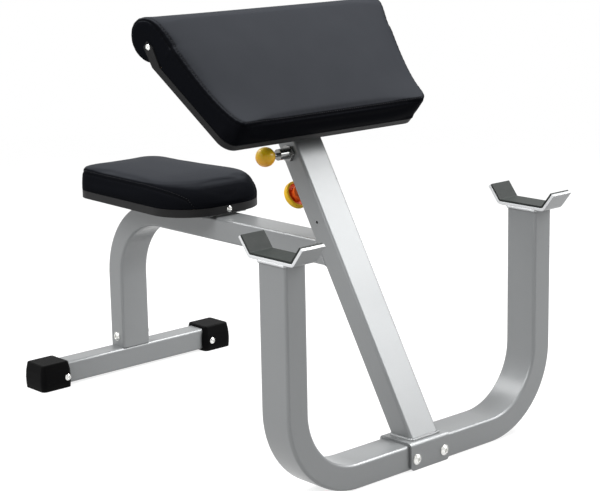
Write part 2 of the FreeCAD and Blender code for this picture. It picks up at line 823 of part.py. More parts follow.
def drill(body, spots):
    """Clearance holes for the bolts that hold a padded board."""
    sketch = new_sketch(body, "XY_Plane")
    for x, y in spots:
        draw_circle(sketch, x, y, "small_bolt + 2 * bolt_fit")
    cut(body, sketch, both_ways=True)


def make_pan(body, corners, rounds, rim):
    """A shallow pan: a floor with a rim round it."""
    outer = new_sketch(body, "XY_Plane")
    draw(outer, corners("0"), rounds("0"))
    pad(body, outer, rim)
    inner = new_sketch(body, "XY_Plane", ("0", "0", "shroud_wall"))
    draw(inner, corners("shroud_wall"), rounds("shroud_wall"))
    cut(body, inner, flip=True, depth=rim)


def make_board(body, corners, rounds, rim):
    """A board that drops into a pan with a little room."""
    inset = "shroud_wall + foam_gap"
    sketch = new_sketch(body, "XY_Plane", ("0", "0", "shroud_wall"))
    draw(sketch, corners(inset), rounds(inset))
    pad(body, sketch, f"{rim} - shroud_wall")


def seat_pan_corners(inset):
    return seat_corners(f"foam_pinch + {inset}")


def seat_pan_rounds(inset):
    return seat_rounds(f"foam_pinch + {inset}")


def make_seat():
    make_seat_plate()
    shroud = new_body("seat_shroud", seat_frame)
    make_pan(shroud, seat_pan_corners, seat_pan_rounds, "seat_rim")
    drill(shroud, seat_bolt_spots())
    ends = new_sketch(shroud, "YZ_Plane")
    draw_circle(ends, "0", "seat_rim / 2", "screw + 2 * bolt_fit")
    cut(shroud, ends, both_ways=True)
    keep(shroud, "seat_shroud")
    board = new_body("seat_board", seat_frame)
    make_board(board, seat_pan_corners, seat_pan_rounds, "seat_rim")
    drill(board, seat_bolt_spots())
    keep(board, "seat_board")
    length = value("seat_plate + seat_rim - shroud_wall")
    bolts = []
    for x, y in seat_bolt_spots():
        spot = (f"seat_x + {x}", y, "beam_top")
        bolts.append(aimed(dome_bolt("small_bolt", length), spot, FreeCAD.Vector(0, 0, -1)))
    group("seat_bolts", bolts)
    front = ("seat_x + seat_length - foam_pinch", "0", "seat_z + seat_rim / 2")
    rear = ("seat_x + foam_pinch", "0", "seat_z + seat_rim / 2")
    short = value("shroud_wall")
    screws = [aimed(dome_bolt("screw", short), front, FreeCAD.Vector(1, 0, 0)),
              aimed(dome_bolt("screw", short), rear, FreeCAD.Vector(-1, 0, 0))]
    group("seat_shroud_screws", screws)


def make_seat_cushion():
    foam = value("seat_foam")
    start = value("seat_rim + foam_gap")
    pinch = value("foam_pinch")
    wires = [rounded_wire(seat_corners(pinch), seat_rounds(pinch), start)]
    for height, share in crown_steps(foam, value("seat_crown")):
        inset = share * value("seat_edge")
        corners = seat_corners(inset, share * value("seat_waterfall"))
        wires.append(rounded_wire(corners, seat_rounds(inset), start + height))
    run = value("crown_run")
    corners = seat_corners(run, run + value("seat_waterfall"))
    wires.append(rounded_wire(corners, seat_rounds(run), start + foam))
    feature = doc.addObject("Part::Feature", "seat_cushion")
    feature.Shape = Part.makeLoft(wires, True, False)
    place(feature, **seat_frame)
    keep(feature, "seat_cushion")


# Arm pad and its sliding tube

def make_inner_tube():
    body = new_body("inner_body", post_frame)
    add_tube(body, "inner_depth", "inner_width", "inner_corner", "inner_wall",
             "inner_high - inner_low", ("0", "0", "inner_low"))
    side = new_sketch(body, "XZ_Plane")
    for step in range(int(value("hole_count"))):
        draw_circle(side, "0", f"pin_along - {step} * hole_pitch", "pin_width + 2 * bolt_fit")
    cut(body, side, flip=True)
    corner = {"point": pad_point("2 * roll_up", "-tube_width", "-pad_plate"), **pad_tilt}
    above = solid_box("pad_trim", corner, "3 * roll_up", "2 * tube_width", "2 * pad_stand")
    difference("inner_tube", body, above)
    for side, y in (("left", "gusset_gap / 2"), ("right", "-gusset_gap / 2 - gusset_thick")):
        corner = {"point": post_point("inner_depth / 2", y, "gusset_foot"), **back_tilt}
        blank = solid_box(f"gusset_blank_{side}", corner, "pad_stand - inner_depth / 2", "gusset_thick",
                          "inner_high - gusset_foot")
        difference(f"pad_gusset_{side}", blank, above)


def make_inner_plug():
    body = new_body("inner_tube_plug", post_frame)
    flange = new_sketch(body, "XY_Plane", ("0", "0", "inner_low - plug_flange"))
    draw_box(flange, "inner_depth", "inner_width", "inner_corner")
    pad(body, flange, "plug_flange")
    core = new_sketch(body, "XY_Plane", ("0", "0", "inner_low"))
    thin = "2 * (inner_wall + plug_fit)"
    draw_box(core, f"inner_depth - {thin}", f"inner_width - {thin}", "inner_corner - inner_wall")
    pad(body, core, "plug_core")
    keep(body, "inner_tube_plug")


def make_pad_plate():
    body = new_body("pad_plate", pad_frame)
    sketch = new_sketch(body, "XY_Plane", ("-pad_plate_u", "0", "-pad_plate"))
    draw_box(sketch, "pad_plate_length", "pad_plate_width", "plate_corner")
    pad(body, sketch, "pad_plate")
    drill(body, pad_bolt_spots())
    keep(body, "pad_plate")
    length = value("pad_plate + pad_rim - shroud_wall")
    down = pad_normal() * -1
    bolts = []
    for x, y in pad_bolt_spots():
        spot = pad_point(f"-({x})", y, "-pad_plate")
        bolts.append(aimed(dome_bolt("small_bolt", length), spot, down))
    group("pad_bolts", bolts)


def pad_normal():
    slope = math.radians(value("pad_slope"))
    return FreeCAD.Vector(math.sin(slope), 0, math.cos(slope))


def add_ears(body):
    """Carry the pan's side rims on up to the roll's ends, narrowed to a band round each end screw."""
    start = "pad_board_end - plate_corner - shroud_wall"
    end = "ear_up + ear_half"
    strips = new_sketch(body, "XY_Plane")
    for sign in ("-", ""):
        rims = [(start, "0"), (end, "0"), (end, "shroud_wall"), (start, "shroud_wall")]
        draw(strips, [(f"-({u})", f"{sign}({pad_half(u, inset)})") for u, inset in rims])
    pad(body, strips, "ear_out + ear_half")
    waste = new_sketch(body, "XZ_Plane")
    over = "2 * pad_rim + ear_out"
    first = f"-({start})"
    last = f"-({end})"
    bend = "-(ear_up - ear_half)"
    foot = "-(pad_board_end + shroud_wall)"
    draw(waste, [(first, "pad_rim"), (first, over), (bend, over), (bend, "ear_out + ear_half")])
    draw(waste, [(foot, "-pad_rim"), (foot, "0"), (last, "ear_out - ear_half"), (last, "-pad_rim")])
    cut(body, waste, both_ways=True)
    holes = new_sketch(body, "XZ_Plane")
    draw_circle(holes, "-ear_up", "ear_out", "screw + 2 * bolt_fit + shroud_wall * pad_flare")
    cut(body, holes, both_ways=True)


def make_arm_board():
    shroud = new_body("pad_shroud", pad_frame)
    make_pan(shroud, pad_pan_corners, pad_rounds, "pad_rim")
    drill(shroud, pad_bolt_spots())
    add_ears(shroud)
    keep(shroud, "pad_shroud")
    board = new_body("pad_board", pad_frame)
    make_board(board, pad_pan_corners, pad_rounds, "pad_rim")
    drill(board, pad_bolt_spots())
    keep(board, "pad_board")
    flare = math.atan(value("pad_flare"))
    slope = math.radians(value("pad_slope"))
    screws = []
    for sign, text in ((-1, "-"), (1, "")):
        spot = pad_point("ear_up", f"{text}({pad_half('ear_up', '0')})", "ear_out")
        along = math.sin(flare)
        outward = FreeCAD.Vector(along * math.cos(slope), sign * math.cos(flare), -along * math.sin(slope))
        screws.append(aimed(dome_bolt("screw", value("shroud_wall")), spot, outward))
    group("pad_shroud_screws", screws)


def roll_wire(inset, shrink, sign):
    """A section of the roll, parallel to the pad's flared side and drawn in from it."""
    centre_u = value("roll_up")
    centre_t = value("roll_out")
    radius = value("roll_radius") - shrink
    spots = []
    for step in range(8):
        angle = math.radians(45 * step)
        u = centre_u + radius * math.cos(angle)
        y = sign * value(pad_half(u, inset))
        spots.append(FreeCAD.Vector(-u, y, centre_t + radius * math.sin(angle)))
    spots.append(spots[0])
    return Part.Wire([Part.Arc(*spots[at:at + 3]).toShape() for at in range(0, 8, 2)])


def make_pad_cushion():
    """The arm pad's padding: a crowned slab on the board and a roll along its upper edge."""
    foam = value("pad_foam")
    start = value("pad_rim + foam_gap")
    top = "roll_up"
    pinch = value("foam_pinch + shroud_wall")
    room = value("shroud_wall + foam_gap")
    wires = [rounded_wire(pad_corners(pinch, top), pad_rounds(pinch), start)]
    for height, share in crown_steps(foam + value("pad_crown"), value("pad_crown")):
        inset = room + share * value("pad_edge")
        wires.append(rounded_wire(pad_corners(inset, top), pad_rounds(inset), start + height))
    run = value("pad_corner - plate_corner")
    wires.append(rounded_wire(pad_corners(run, top), pad_rounds(run), start + foam + value("pad_crown")))
    slab = Part.makeLoft(wires, True, False)
    soft = value("roll_round")
    steps = []
    for degrees in (0, 30, 60, 90):
        angle = math.radians(degrees)
        steps.append((room + soft * (1 - math.cos(angle)), soft * (1 - math.sin(angle))))
    sections = [roll_wire(inset, shrink, -1) for inset, shrink in steps]
    sections += [roll_wire(inset, shrink, 1) for inset, shrink in reversed(steps)]
    roll = Part.makeLoft(sections, True, True)
    feature = doc.addObject("Part::Feature", "pad_cushion")
    feature.Shape = slab.fuse(roll).removeSplitter()
    place(feature, **pad_frame)
    keep(feature, "pad_cushion")


# Pull pin on the post's right side

def make_pull_pin():
    hex_nut("pin_nut", pin_frame, "pin_nut_across", "barrel_thread + 2 * run_fit", "pin_nut_height")
    guide = "pin_width / 2 + run_fit"
    neck = "pin_stem / 2 + run_fit"
    thread = "barrel_thread / 2"
    turned("pin_barrel", pin_frame, [
        (guide, "-tube_wall"), (thread, "-tube_wall"), (thread, "pin_nut_height"),
        ("barrel_width / 2", "pin_nut_height"), ("barrel_width / 2", "barrel_length"),
        (neck, "barrel_length"), (neck, "chamber_end"), ("barrel_chamber / 2", "chamber_end"),
        ("barrel_chamber / 2", "barrel_nose"), (guide, "barrel_nose")])
    stem_end = "ball_stand - ball_width / 2 + ball_hole - run_fit"
    turned("pull_pin", pin_frame, [
        ("0", "pin_tip"), ("pin_width / 2", "pin_tip"), ("pin_width / 2", "collar_start"),
        ("pin_collar / 2", "collar_start"), ("pin_collar / 2", "collar_end"),
        ("pin_stem / 2", "collar_end"), ("pin_stem / 2", stem_end), ("0", stem_end)])
    ball = doc.addObject("Part::Sphere", "ball_blank")
    bind(ball, Radius="ball_width / 2")
    place(ball, post_point("0", "-tube_width / 2 - ball_stand", "pin_along"), **rightward)
    hole = doc.addObject("Part::Cylinder", "ball_bore")
    bind(hole, Radius=neck, Height="ball_hole + ball_width / 2")
    place(hole, post_point("0", "ball_width - tube_width / 2 - ball_stand", "pin_along"), **rightward)
    difference("pin_ball", ball, hole)


def helix_point(turn, low, pitch, radius):
    angle = 2 * math.pi * turn
    return FreeCAD.Vector(radius * math.cos(angle), radius * math.sin(angle), low + pitch * turn)


def helix_heading(turn, pitch, radius):
    angle = 2 * math.pi * turn
    rise = pitch / (2 * math.pi)
    return FreeCAD.Vector(-radius * math.sin(angle), radius * math.cos(angle), rise).normalize()


def arc_from(start, heading, end):
    """The arc that leaves a point along a heading and ends at another point."""
    chord = end - start
    side = chord - heading * chord.dot(heading)
    radius = chord.dot(chord) / (2 * side.Length)
    centre = start + side.normalize() * radius
    middle = centre + ((start - centre) + (end - centre)).normalize() * radius
    return Part.Arc(start, middle, end).toShape()


def biarc(start, heading, end, final):
    """Two arcs that meet smoothly and join two points along their headings."""
    chord = end - start
    both = heading + final
    square = 2 * (1 - heading.dot(final))
    slope = chord.dot(both)
    reach = (math.sqrt(slope * slope + square * chord.dot(chord)) - slope) / square
    meet = (start + end + (heading - final) * reach) * 0.5
    return [arc_from(start, heading, meet), arc_from(end, final * -1, meet)]


def make_spring():
    """A compression spring between the pin's collar and the end of the barrel, as one unbroken wire."""
    wire = value("spring_wire")
    turns = int(value("spring_turns"))
    low = value("collar_end + spring_gap") + wire / 2
    high = value("chamber_end - spring_gap") - wire / 2
    radius = value("pin_stem + barrel_chamber") / 4
    pitch = (high - low) / turns
    edges = []
    for half_turn in range(2 * turns):
        a = half_turn / 2
        b = a + 1 / 2
        edges += biarc(helix_point(a, low, pitch, radius), helix_heading(a, pitch, radius),
                       helix_point(b, low, pitch, radius), helix_heading(b, pitch, radius))
    shell = Part.BRepOffsetAPI.MakePipeShell(Part.Wire(Part.__sortEdges__(edges)))
    start = helix_point(0, low, pitch, radius)
    circle = Part.makeCircle(wire / 2, start, helix_heading(0, pitch, radius))
    shell.add(Part.Wire([circle]))
    shell.build()
    shell.makeSolid()
    feature = doc.addObject("Part::Feature", "pin_spring")
    feature.Shape = shell.shape()
    place(feature, **pin_frame)
    keep(feature, "pin_spring")
    print(f"pin_spring: least gap between turns {pitch - wire:.2f} mm")


# Tension knob on the post's back

def make_tension_knob():
    bore = "stud_width + 2 * run_fit"
    hex_nut("tension_nut", knob_frame, "tension_nut_across", bore, "tension_nut_height")
    turned("tension_pad", knob_frame, [
        ("0", "tip_start"), ("tip_width / 2", "tip_start"),
        ("tip_width / 2", "tip_start + tip_thick"), ("0", "tip_start + tip_thick")])
    turned("tension_stud", knob_frame, [
        ("0", "stud_start"), ("stud_width / 2", "stud_start"),
        ("stud_width / 2", "stud_stand"), ("0", "stud_stand")])
    socket = "stud_width / 2 + run_fit"
    rim = "knob_width / 2"
    lip = "knob_width / 2 - knob_rim"
    dish = "knob_stand + knob_depth / 2"
    edge = "knob_stand + knob_depth - knob_dish"
    bottom = "stud_stand + run_fit"
    turned("tension_knob", knob_frame, [
        (socket, "knob_stand"), ("knob_hub / 2", "knob_stand"), ("knob_hub / 2", dish), (lip, dish),
        (lip, f"{dish} - knob_dish"), (rim, f"{dish} - knob_dish"), (rim, edge),
        ("0", "knob_stand + knob_depth"), ("0", bottom), (socket, bottom)],
        [None, None, None, None, None, "knob_rim / 2", "knob_dish", None, None, None])


def check_and_write():
    doc.recompute()
    for thing in doc.Objects:
        assert "Invalid" not in thing.State and "Error" not in thing.State, (thing.Name, thing.State)
    for piece in pieces:
        assert not piece.Shape.isNull() and piece.Shape.isValid(), piece.Label
        assert piece.Shape.Volume > 0, piece.Label
    os.makedirs("parts", exist_ok=True)
    for piece in pieces:
        piece.Shape.exportStep(f"parts/{piece.Label}.step")
        print(f"{piece.Label}: {len(piece.Shape.Solids)} solid, {piece.Shape.Volume / 1000:.1f} cm3")


make_base()
make_cradles()
make_saddle()
make_saddle_bolts()
make_post()
make_bushing()
make_seat_beam()
make_stabiliser()
make_leg_socket()
make_end_caps()
make_seat()
make_seat_cushion()
make_inner_tube()
make_inner_plug()
make_pad_plate()
make_arm_board()
make_pad_cushion()
make_pull_pin()
make_spring()
make_tension_knob()
check_and_write()
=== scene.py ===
import json
import math

import bmesh
import bpy
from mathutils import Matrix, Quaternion, Vector, noise
from mathutils.bvhtree import BVHTree
from mathutils.kdtree import KDTree


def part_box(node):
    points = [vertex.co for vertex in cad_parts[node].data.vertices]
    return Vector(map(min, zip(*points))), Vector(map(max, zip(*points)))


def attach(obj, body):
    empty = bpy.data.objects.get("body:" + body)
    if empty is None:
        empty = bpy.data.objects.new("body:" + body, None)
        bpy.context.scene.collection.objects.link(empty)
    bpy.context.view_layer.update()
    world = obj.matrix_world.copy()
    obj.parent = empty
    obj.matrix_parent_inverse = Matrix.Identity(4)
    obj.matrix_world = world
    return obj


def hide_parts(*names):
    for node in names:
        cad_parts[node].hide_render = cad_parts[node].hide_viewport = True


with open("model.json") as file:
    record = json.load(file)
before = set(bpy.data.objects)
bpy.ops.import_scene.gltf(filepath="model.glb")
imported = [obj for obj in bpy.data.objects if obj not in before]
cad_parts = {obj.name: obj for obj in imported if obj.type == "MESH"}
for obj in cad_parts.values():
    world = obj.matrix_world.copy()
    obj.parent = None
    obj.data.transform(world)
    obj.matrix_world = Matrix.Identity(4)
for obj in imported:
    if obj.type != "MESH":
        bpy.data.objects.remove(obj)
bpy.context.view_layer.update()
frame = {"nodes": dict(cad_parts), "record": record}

# A preacher curl bench, in metres: +X from the seat to the bar cradles, +Y to the sitter's left, +Z up.
nodes = frame["nodes"]
scene = bpy.context.scene
scene.view_settings.view_transform = "Standard"
print("stage: frame loaded with", len(nodes), "nodes")


# Shader wiring

class Wire:  # a shader socket that takes Python arithmetic
    def __init__(self, tree, socket=None):
        self.tree = tree
        self.socket = socket

    def feed(self, socket, given):
        if isinstance(given, Wire):
            self.tree.links.new(given.socket, socket)
        else:
            socket.default_value = given

    def node(self, kind, settings=None, inputs=None, output=0):
        made = self.tree.nodes.new(kind)
        for key, setting in (settings or {}).items():
            setattr(made, key, setting)
        for key, given in (inputs or {}).items():
            self.feed(made.inputs[key], given)
        return Wire(self.tree, made.outputs[output])

    def maths(self, operation, *parts):
        return self.node("ShaderNodeMath", {"operation": operation}, dict(enumerate(parts)))

    def __add__(self, other):
        return self.maths("ADD", self, other)

    def __sub__(self, other):
        return self.maths("SUBTRACT", self, other)

    def __rsub__(self, other):
        return self.maths("SUBTRACT", other, self)

    def __mul__(self, other):
        return self.maths("MULTIPLY", self, other)

    def __pow__(self, other):
        return self.maths("POWER", self, other)

    __radd__ = __add__
    __rmul__ = __mul__


def newMaterial(name, **values):
    material = bpy.data.materials.new(name)
    material.use_nodes = True
    shader = material.node_tree.nodes["Principled BSDF"]
    for key, given in values.items():
        shader.inputs[key.replace("_", " ")].default_value = given
    return material, shader, Wire(material.node_tree)


def dress(shader, wire, links):
    for key, given in links.items():
        wire.feed(shader.inputs[key], given)


def blendColour(wire, share, first, second):
    return wire.node("ShaderNodeMix", {"data_type": "RGBA"}, {0: share, 6: first, 7: second}, 2)


def cloudy(wire, at, scale, detail=2.0):
    return wire.node("ShaderNodeTexNoise", None, {"Vector": at, "Scale": scale, "Detail": detail}, "Fac")


def cells(wire, at, scale, feature="SMOOTH_F1"):
    return wire.node("ShaderNodeTexVoronoi", {"feature": feature}, {"Vector": at, "Scale": scale}, "Distance")


def relief(wire, height, depth, strength=1.0, normal=None):
    inputs = {"Height": height, "Distance": depth, "Strength": strength}
    if normal:
        inputs["Normal"] = normal
    return wire.node("ShaderNodeBump", None, inputs)


def restSpot(wire):
    return wire.node("ShaderNodeTexCoord", output="Object")


def facing(wire):
    return wire.node("ShaderNodeNewGeometry", output="Normal")


def axisPart(wire, vector, axis):
    return wire.node("ShaderNodeSeparateXYZ", None, {"Vector": vector}, axis)


def ramp(wire, given, start, end, curve="SMOOTHSTEP"):  # from 0 at start to 1 at end
    return wire.node("ShaderNodeMapRange", {"interpolation_type": curve}, {"Value": given, 1: start, 2: end})


def softEdges(wire, radius, samples=4):
    return wire.node("ShaderNodeBevel", {"samples": samples}, {"Radius": radius})


# Finishes

# the pale grey for faces that look along Y is a painted highlight
coatSet = {"shade": (0.186, 0.193, 0.196, 1), "pale": (0.230, 0.238, 0.242, 1), "cut": (0.66, 0.67, 0.68, 1),
           "flakeScale": 2400, "flakeShare": 0.7, "driftScale": 9, "driftShare": 0.3, "peelScale": 420,
           "peelDepth": 0.00012, "softEdge": 0.0009, "plateEdge": 0.0024, "edgeSamples": 6,
           "rough": 0.36, "driftRough": 0.08, "flakeRough": 0.06}


def silverCoat(name, softEdge, cutEnds=0.0):  # how much painted highlight the faces get that look across the bench
    s = coatSet
    material, shader, wire = newMaterial(name, Metallic=0.35, Coat_Weight=0.4, Coat_Roughness=0.22)
    at = restSpot(wire)
    flake = cells(wire, at, s["flakeScale"], "F1")
    drift = cloudy(wire, at, s["driftScale"])
    peel = cloudy(wire, at, s["peelScale"], detail=3)
    edge = softEdges(wire, softEdge, s["edgeSamples"])
    colour = blendColour(wire, flake * s["flakeShare"] + drift * s["driftShare"], s["shade"], s["pale"])
    # faces that look along Y, the plates' edges and the sides of their weld beads, get a painted highlight
    if cutEnds:
        across = wire.maths("ABSOLUTE", axisPart(wire, facing(wire), "Y"))
        colour = blendColour(wire, across ** 3 * cutEnds, colour, s["cut"])
    dress(shader, wire, {
        "Base Color": colour,
        "Roughness": s["rough"] + s["driftRough"] * drift + s["flakeRough"] * flake,
        "Normal": relief(wire, peel, s["peelDepth"], strength=0.5, normal=edge)})
    return material


zincSet = {"shade": (0.62, 0.62, 0.60, 1), "pale": (0.80, 0.80, 0.78, 1), "softEdge": 0.0006}
# a darker copy of the plated steel for the pull pin, its barrel and its nut: painted shade standing in for dark
# reflections
shadedBarrelSet = {"shade": (0.17, 0.17, 0.168, 1), "pale": (0.29, 0.29, 0.285, 1), "softEdge": 0.0007}
platedSet = {"spangleScale": 600, "rubScale": 1500, "rubDepth": 0.00003, "rough": 0.16, "rubRough": 0.14}


def platedSteel(name, settings):
    s = platedSet
    material, shader, wire = newMaterial(name, Metallic=1.0)
    at = restSpot(wire)
    spangle = cells(wire, at, s["spangleScale"], "F1")
    rub = cloudy(wire, at, s["rubScale"], detail=4)
    edge = softEdges(wire, settings["softEdge"])
    dress(shader, wire, {
        "Base Color": blendColour(wire, spangle, settings["shade"], settings["pale"]),
        "Roughness": s["rough"] + s["rubRough"] * rub,
        "Normal": relief(wire, rub, s["rubDepth"], strength=0.4, normal=edge)})
    return material


# the sides' colour is painted shade; the top's two colours carry painted light and drift at random between them
vinylSet = {"band": (0.0046, 0.0050, 0.0064, 1), "shade": (0.0262, 0.0280, 0.0322, 1),
            "pale": (0.0310, 0.0330, 0.0376, 1), "seam": (0.0040, 0.0042, 0.0050, 1), "padLitRange": (0.28, 0.66),
            "seatLitRange": (0.80, 1.06), "pebbleScale": 760, "pebbleShare": 0.75, "pebbleDepth": 0.00022,
            "poreScale": 2600, "poreShare": 0.25, "driftScale": 14, "rough": 0.35, "driftRough": 0.09,
            "seamRough": 0.25}


def blackVinyl(name, litRange):  # how far a face looks up where the painted shade of the sides turns into the painted light of the top
    s = vinylSet
    material, shader, wire = newMaterial(name, Specular_IOR_Level=0.0015)
    at = restSpot(wire)
    pebble = cells(wire, at, s["pebbleScale"])
    pores = cloudy(wire, at, s["poreScale"], detail=3)
    drift = cloudy(wire, at, s["driftScale"])
    seam = wire.node("ShaderNodeAttribute", {"attribute_name": "seamShade"}, output="Fac")
    # faces that look up get painted light, the others painted shade
    litShare = ramp(wire, axisPart(wire, facing(wire), "Z"), *litRange)
    litTop = blendColour(wire, drift, s["shade"], s["pale"])
    face = blendColour(wire, litShare, s["band"], litTop)
    grain = pebble * s["pebbleShare"] + pores * s["poreShare"]
    dress(shader, wire, {
        "Base Color": blendColour(wire, seam, face, s["seam"]),
        "Roughness": s["rough"] + s["driftRough"] * drift + s["seamRough"] * seam,
        "Normal": relief(wire, grain, s["pebbleDepth"], strength=0.55)})
    return material


threadSet = {"shade": (0.006, 0.006, 0.007, 1), "pale": (0.022, 0.022, 0.025, 1), "plyScale": 3200,
             "plyDepth": 0.0001, "rough": 0.55, "plyRough": 0.2}


def stitchThread():
    s = threadSet
    material, shader, wire = newMaterial("stitchThread", Specular_IOR_Level=0.2)
    ply = cloudy(wire, restSpot(wire), s["plyScale"])
    dress(shader, wire, {
        "Base Color": blendColour(wire, ply, s["shade"], s["pale"]),
        "Roughness": s["rough"] + s["plyRough"] * ply,
        "Normal": relief(wire, ply, s["plyDepth"], strength=0.6)})
    return material


shroudSet = {"shade": (0.012, 0.012, 0.0125, 1), "pale": (0.018, 0.018, 0.0185, 1), "grainScale": 1500,
             "grainDepth": 0.00012, "driftScale": 22, "softEdge": 0.0008, "rough": 0.46, "grainRough": 0.12}


def mouldedShroud():
    s = shroudSet
    material, shader, wire = newMaterial("mouldedShroud", Specular_IOR_Level=0.1)
    at = restSpot(wire)
    grain = cells(wire, at, s["grainScale"], "F1")
    drift = cloudy(wire, at, s["driftScale"])
    edge = softEdges(wire, s["softEdge"])
    dress(shader, wire, {
        "Base Color": blendColour(wire, drift, s["shade"], s["pale"]),
        "Roughness": s["rough"] + s["grainRough"] * grain,
        "Normal": relief(wire, grain, s["grainDepth"], strength=0.5, normal=edge)})
    return material


bootSet = {"shade": (0.0022, 0.0022, 0.0024, 1), "dust": (0.008, 0.008, 0.0077, 1), "dustHeight": 0.014,
           "grainScale": 1300, "grainDepth": 0.00018, "driftScale": 30, "rough": 0.44, "grainRough": 0.16}


def bootRubber():  # dustier towards the floor
    s = bootSet
    material, shader, wire = newMaterial("bootRubber", Specular_IOR_Level=0.035)
    at = restSpot(wire)
    grain = cloudy(wire, at, s["grainScale"], detail=4)
    drift = cloudy(wire, at, s["driftScale"])
    low = ramp(wire, axisPart(wire, at, "Z"), s["dustHeight"], 0.0, "LINEAR")
    dress(shader, wire, {
        "Base Color": blendColour(wire, low * drift, s["shade"], s["dust"]),
        "Roughness": s["rough"] + s["grainRough"] * grain,
        "Normal": relief(wire, grain, s["grainDepth"], strength=0.5)})
    return material


linerSet = {"shade": (0.008, 0.010, 0.009, 1), "pale": (0.018, 0.022, 0.020, 1), "grainScale": 480,
            "grainShare": 0.6, "driftScale": 60, "driftShare": 0.4, "depth": 0.0003, "rough": 0.52, "driftRough": 0.2}


def linerRubber():
    s = linerSet
    material, shader, wire = newMaterial("linerRubber", Specular_IOR_Level=0.2)
    at = restSpot(wire)
    grain = cells(wire, at, s["grainScale"], "F1")
    drift = cloudy(wire, at, s["driftScale"], detail=4)
    dress(shader, wire, {
        "Base Color": blendColour(wire, drift, s["shade"], s["pale"]),
        "Roughness": s["rough"] + s["driftRough"] * drift,
        "Normal": relief(wire, grain * s["grainShare"] + drift * s["driftShare"], s["depth"], strength=0.6)})
    return material


plySet = {"pale": (0.58, 0.42, 0.25, 1), "dark": (0.36, 0.23, 0.12, 1), "stretch": (6, 90, 700),
          "grainDepth": 0.0002, "rough": 0.6, "grainRough": 0.2}


def layeredPly():
    s = plySet
    material, shader, wire = newMaterial("layeredPly", Specular_IOR_Level=0.3)
    stretched = wire.node("ShaderNodeMapping", None, {"Vector": restSpot(wire), "Scale": s["stretch"]})
    grain = cloudy(wire, stretched, 1.0, detail=5)
    dress(shader, wire, {
        "Base Color": blendColour(wire, grain, s["pale"], s["dark"]),
        "Roughness": s["rough"] + s["grainRough"] * grain,
        "Normal": relief(wire, grain, s["grainDepth"], strength=0.5)})
    return material


amberSet = {"top": (0.92, 0.64, 0.020, 1), "low": (0.92, 0.38, 0.004, 1), "riseShare": 0.85, "swirlScale": 160,
            "swirlShare": 0.15, "dimpleScale": 700, "dimpleDepth": 0.00004, "rough": 0.22, "swirlRough": 0.12}


def amberPlastic():  # the ball's upper half is yellower than its lower half: painted light on top, painted shade below
    s = amberSet
    material, shader, wire = newMaterial("amberPlastic", Coat_Weight=0.2, Coat_Roughness=0.08, Specular_IOR_Level=0.25,
                                         Subsurface_Weight=0.12, Subsurface_Radius=(0.012, 0.005, 0.001))
    at = restSpot(wire)
    low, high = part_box("pin_ball")
    # height blends painted shade at the bottom into painted light at the top
    rise = ramp(wire, axisPart(wire, at, "Z"), low.z, high.z)
    swirl = cloudy(wire, at, s["swirlScale"], detail=3)
    dress(shader, wire, {
        "Base Color": blendColour(wire, rise * s["riseShare"] + swirl * s["swirlShare"], s["low"], s["top"]),
        "Roughness": s["rough"] + s["swirlRough"] * swirl,
        "Normal": relief(wire, cloudy(wire, at, s["dimpleScale"]), s["dimpleDepth"], strength=0.4)})
    return material


knobSet = {"rim": (0.95, 0.62, 0.030, 1), "deep": (0.90, 0.50, 0.016, 1), "back": (0.92, 0.150, 0.022, 1),
           "axis": (0.861629, 0.0, 0.507538), "centre": (0.14490, 0.0, 0.50673), "lip": 0.0240, "dish": -0.047,
           "swirlScale": 160, "dimpleScale": 800, "dimpleDepth": 0.00005, "rough": 0.36, "swirlRough": 0.14}


def knobPlastic():  # yellow outside, orange-red in the dish that faces the post: painted shade on the knob's shaded back
    s = knobSet
    material, shader, wire = newMaterial("knobPlastic", Coat_Weight=0.06, Coat_Roughness=0.2, Specular_IOR_Level=0.2)
    at = restSpot(wire)
    arm = wire.node("ShaderNodeVectorMath", {"operation": "SUBTRACT"}, {0: at, 1: s["centre"]})
    along = wire.node("ShaderNodeVectorMath", {"operation": "DOT_PRODUCT"}, {0: arm, 1: s["axis"]}, "Value")
    reach = wire.node("ShaderNodeVectorMath", {"operation": "LENGTH"}, {0: arm}, "Value")
    spread = wire.maths("SQRT", reach * reach - along * along)
    inside = wire.maths("LESS_THAN", spread, s["lip"])
    # the dish's orange-red is painted shade
    back = inside * wire.maths("GREATER_THAN", along, s["dish"])
    swirl = cloudy(wire, at, s["swirlScale"], detail=3)
    yellow = blendColour(wire, swirl, s["rim"], s["deep"])
    dress(shader, wire, {
        "Base Color": blendColour(wire, back, yellow, s["back"]),
        "Roughness": s["rough"] + s["swirlRough"] * swirl,
        "Normal": relief(wire, cloudy(wire, at, s["dimpleScale"]), s["dimpleDepth"], strength=0.4)})
    return material


guideSet = {"shade": (0.012, 0.012, 0.013, 1), "pale": (0.024, 0.024, 0.025, 1), "driftScale": 400,
            "driftDepth": 0.0001, "rough": 0.42, "driftRough": 0.15}


def guideNylon():
    s = guideSet
    material, shader, wire = newMaterial("guideNylon", Specular_IOR_Level=0.35)
    drift = cloudy(wire, restSpot(wire), s["driftScale"], detail=4)
    dress(shader, wire, {
        "Base Color": blendColour(wire, drift, s["shade"], s["pale"]),
        "Roughness": s["rough"] + s["driftRough"] * drift,
        "Normal": relief(wire, drift, s["driftDepth"], strength=0.5)})
    return material


finishes = {
    "frame_paint": silverCoat("silverCoat", coatSet["softEdge"]),
    "zinc": platedSteel("zincPlate", zincSet),
    "vinyl": blackVinyl("blackVinyl", vinylSet["padLitRange"]),
    "shroud_plastic": mouldedShroud(),
    "cap_rubber": bootRubber(),
    "liner_rubber": linerRubber(),
    "plywood": layeredPly(),
    "yellow_plastic": amberPlastic(),
    "guide_plastic": guideNylon(),
}
shadedBarrelFinish = platedSteel("shadedSteel", shadedBarrelSet)
seatVinyl = blackVinyl("seatVinyl", vinylSet["seatLitRange"])
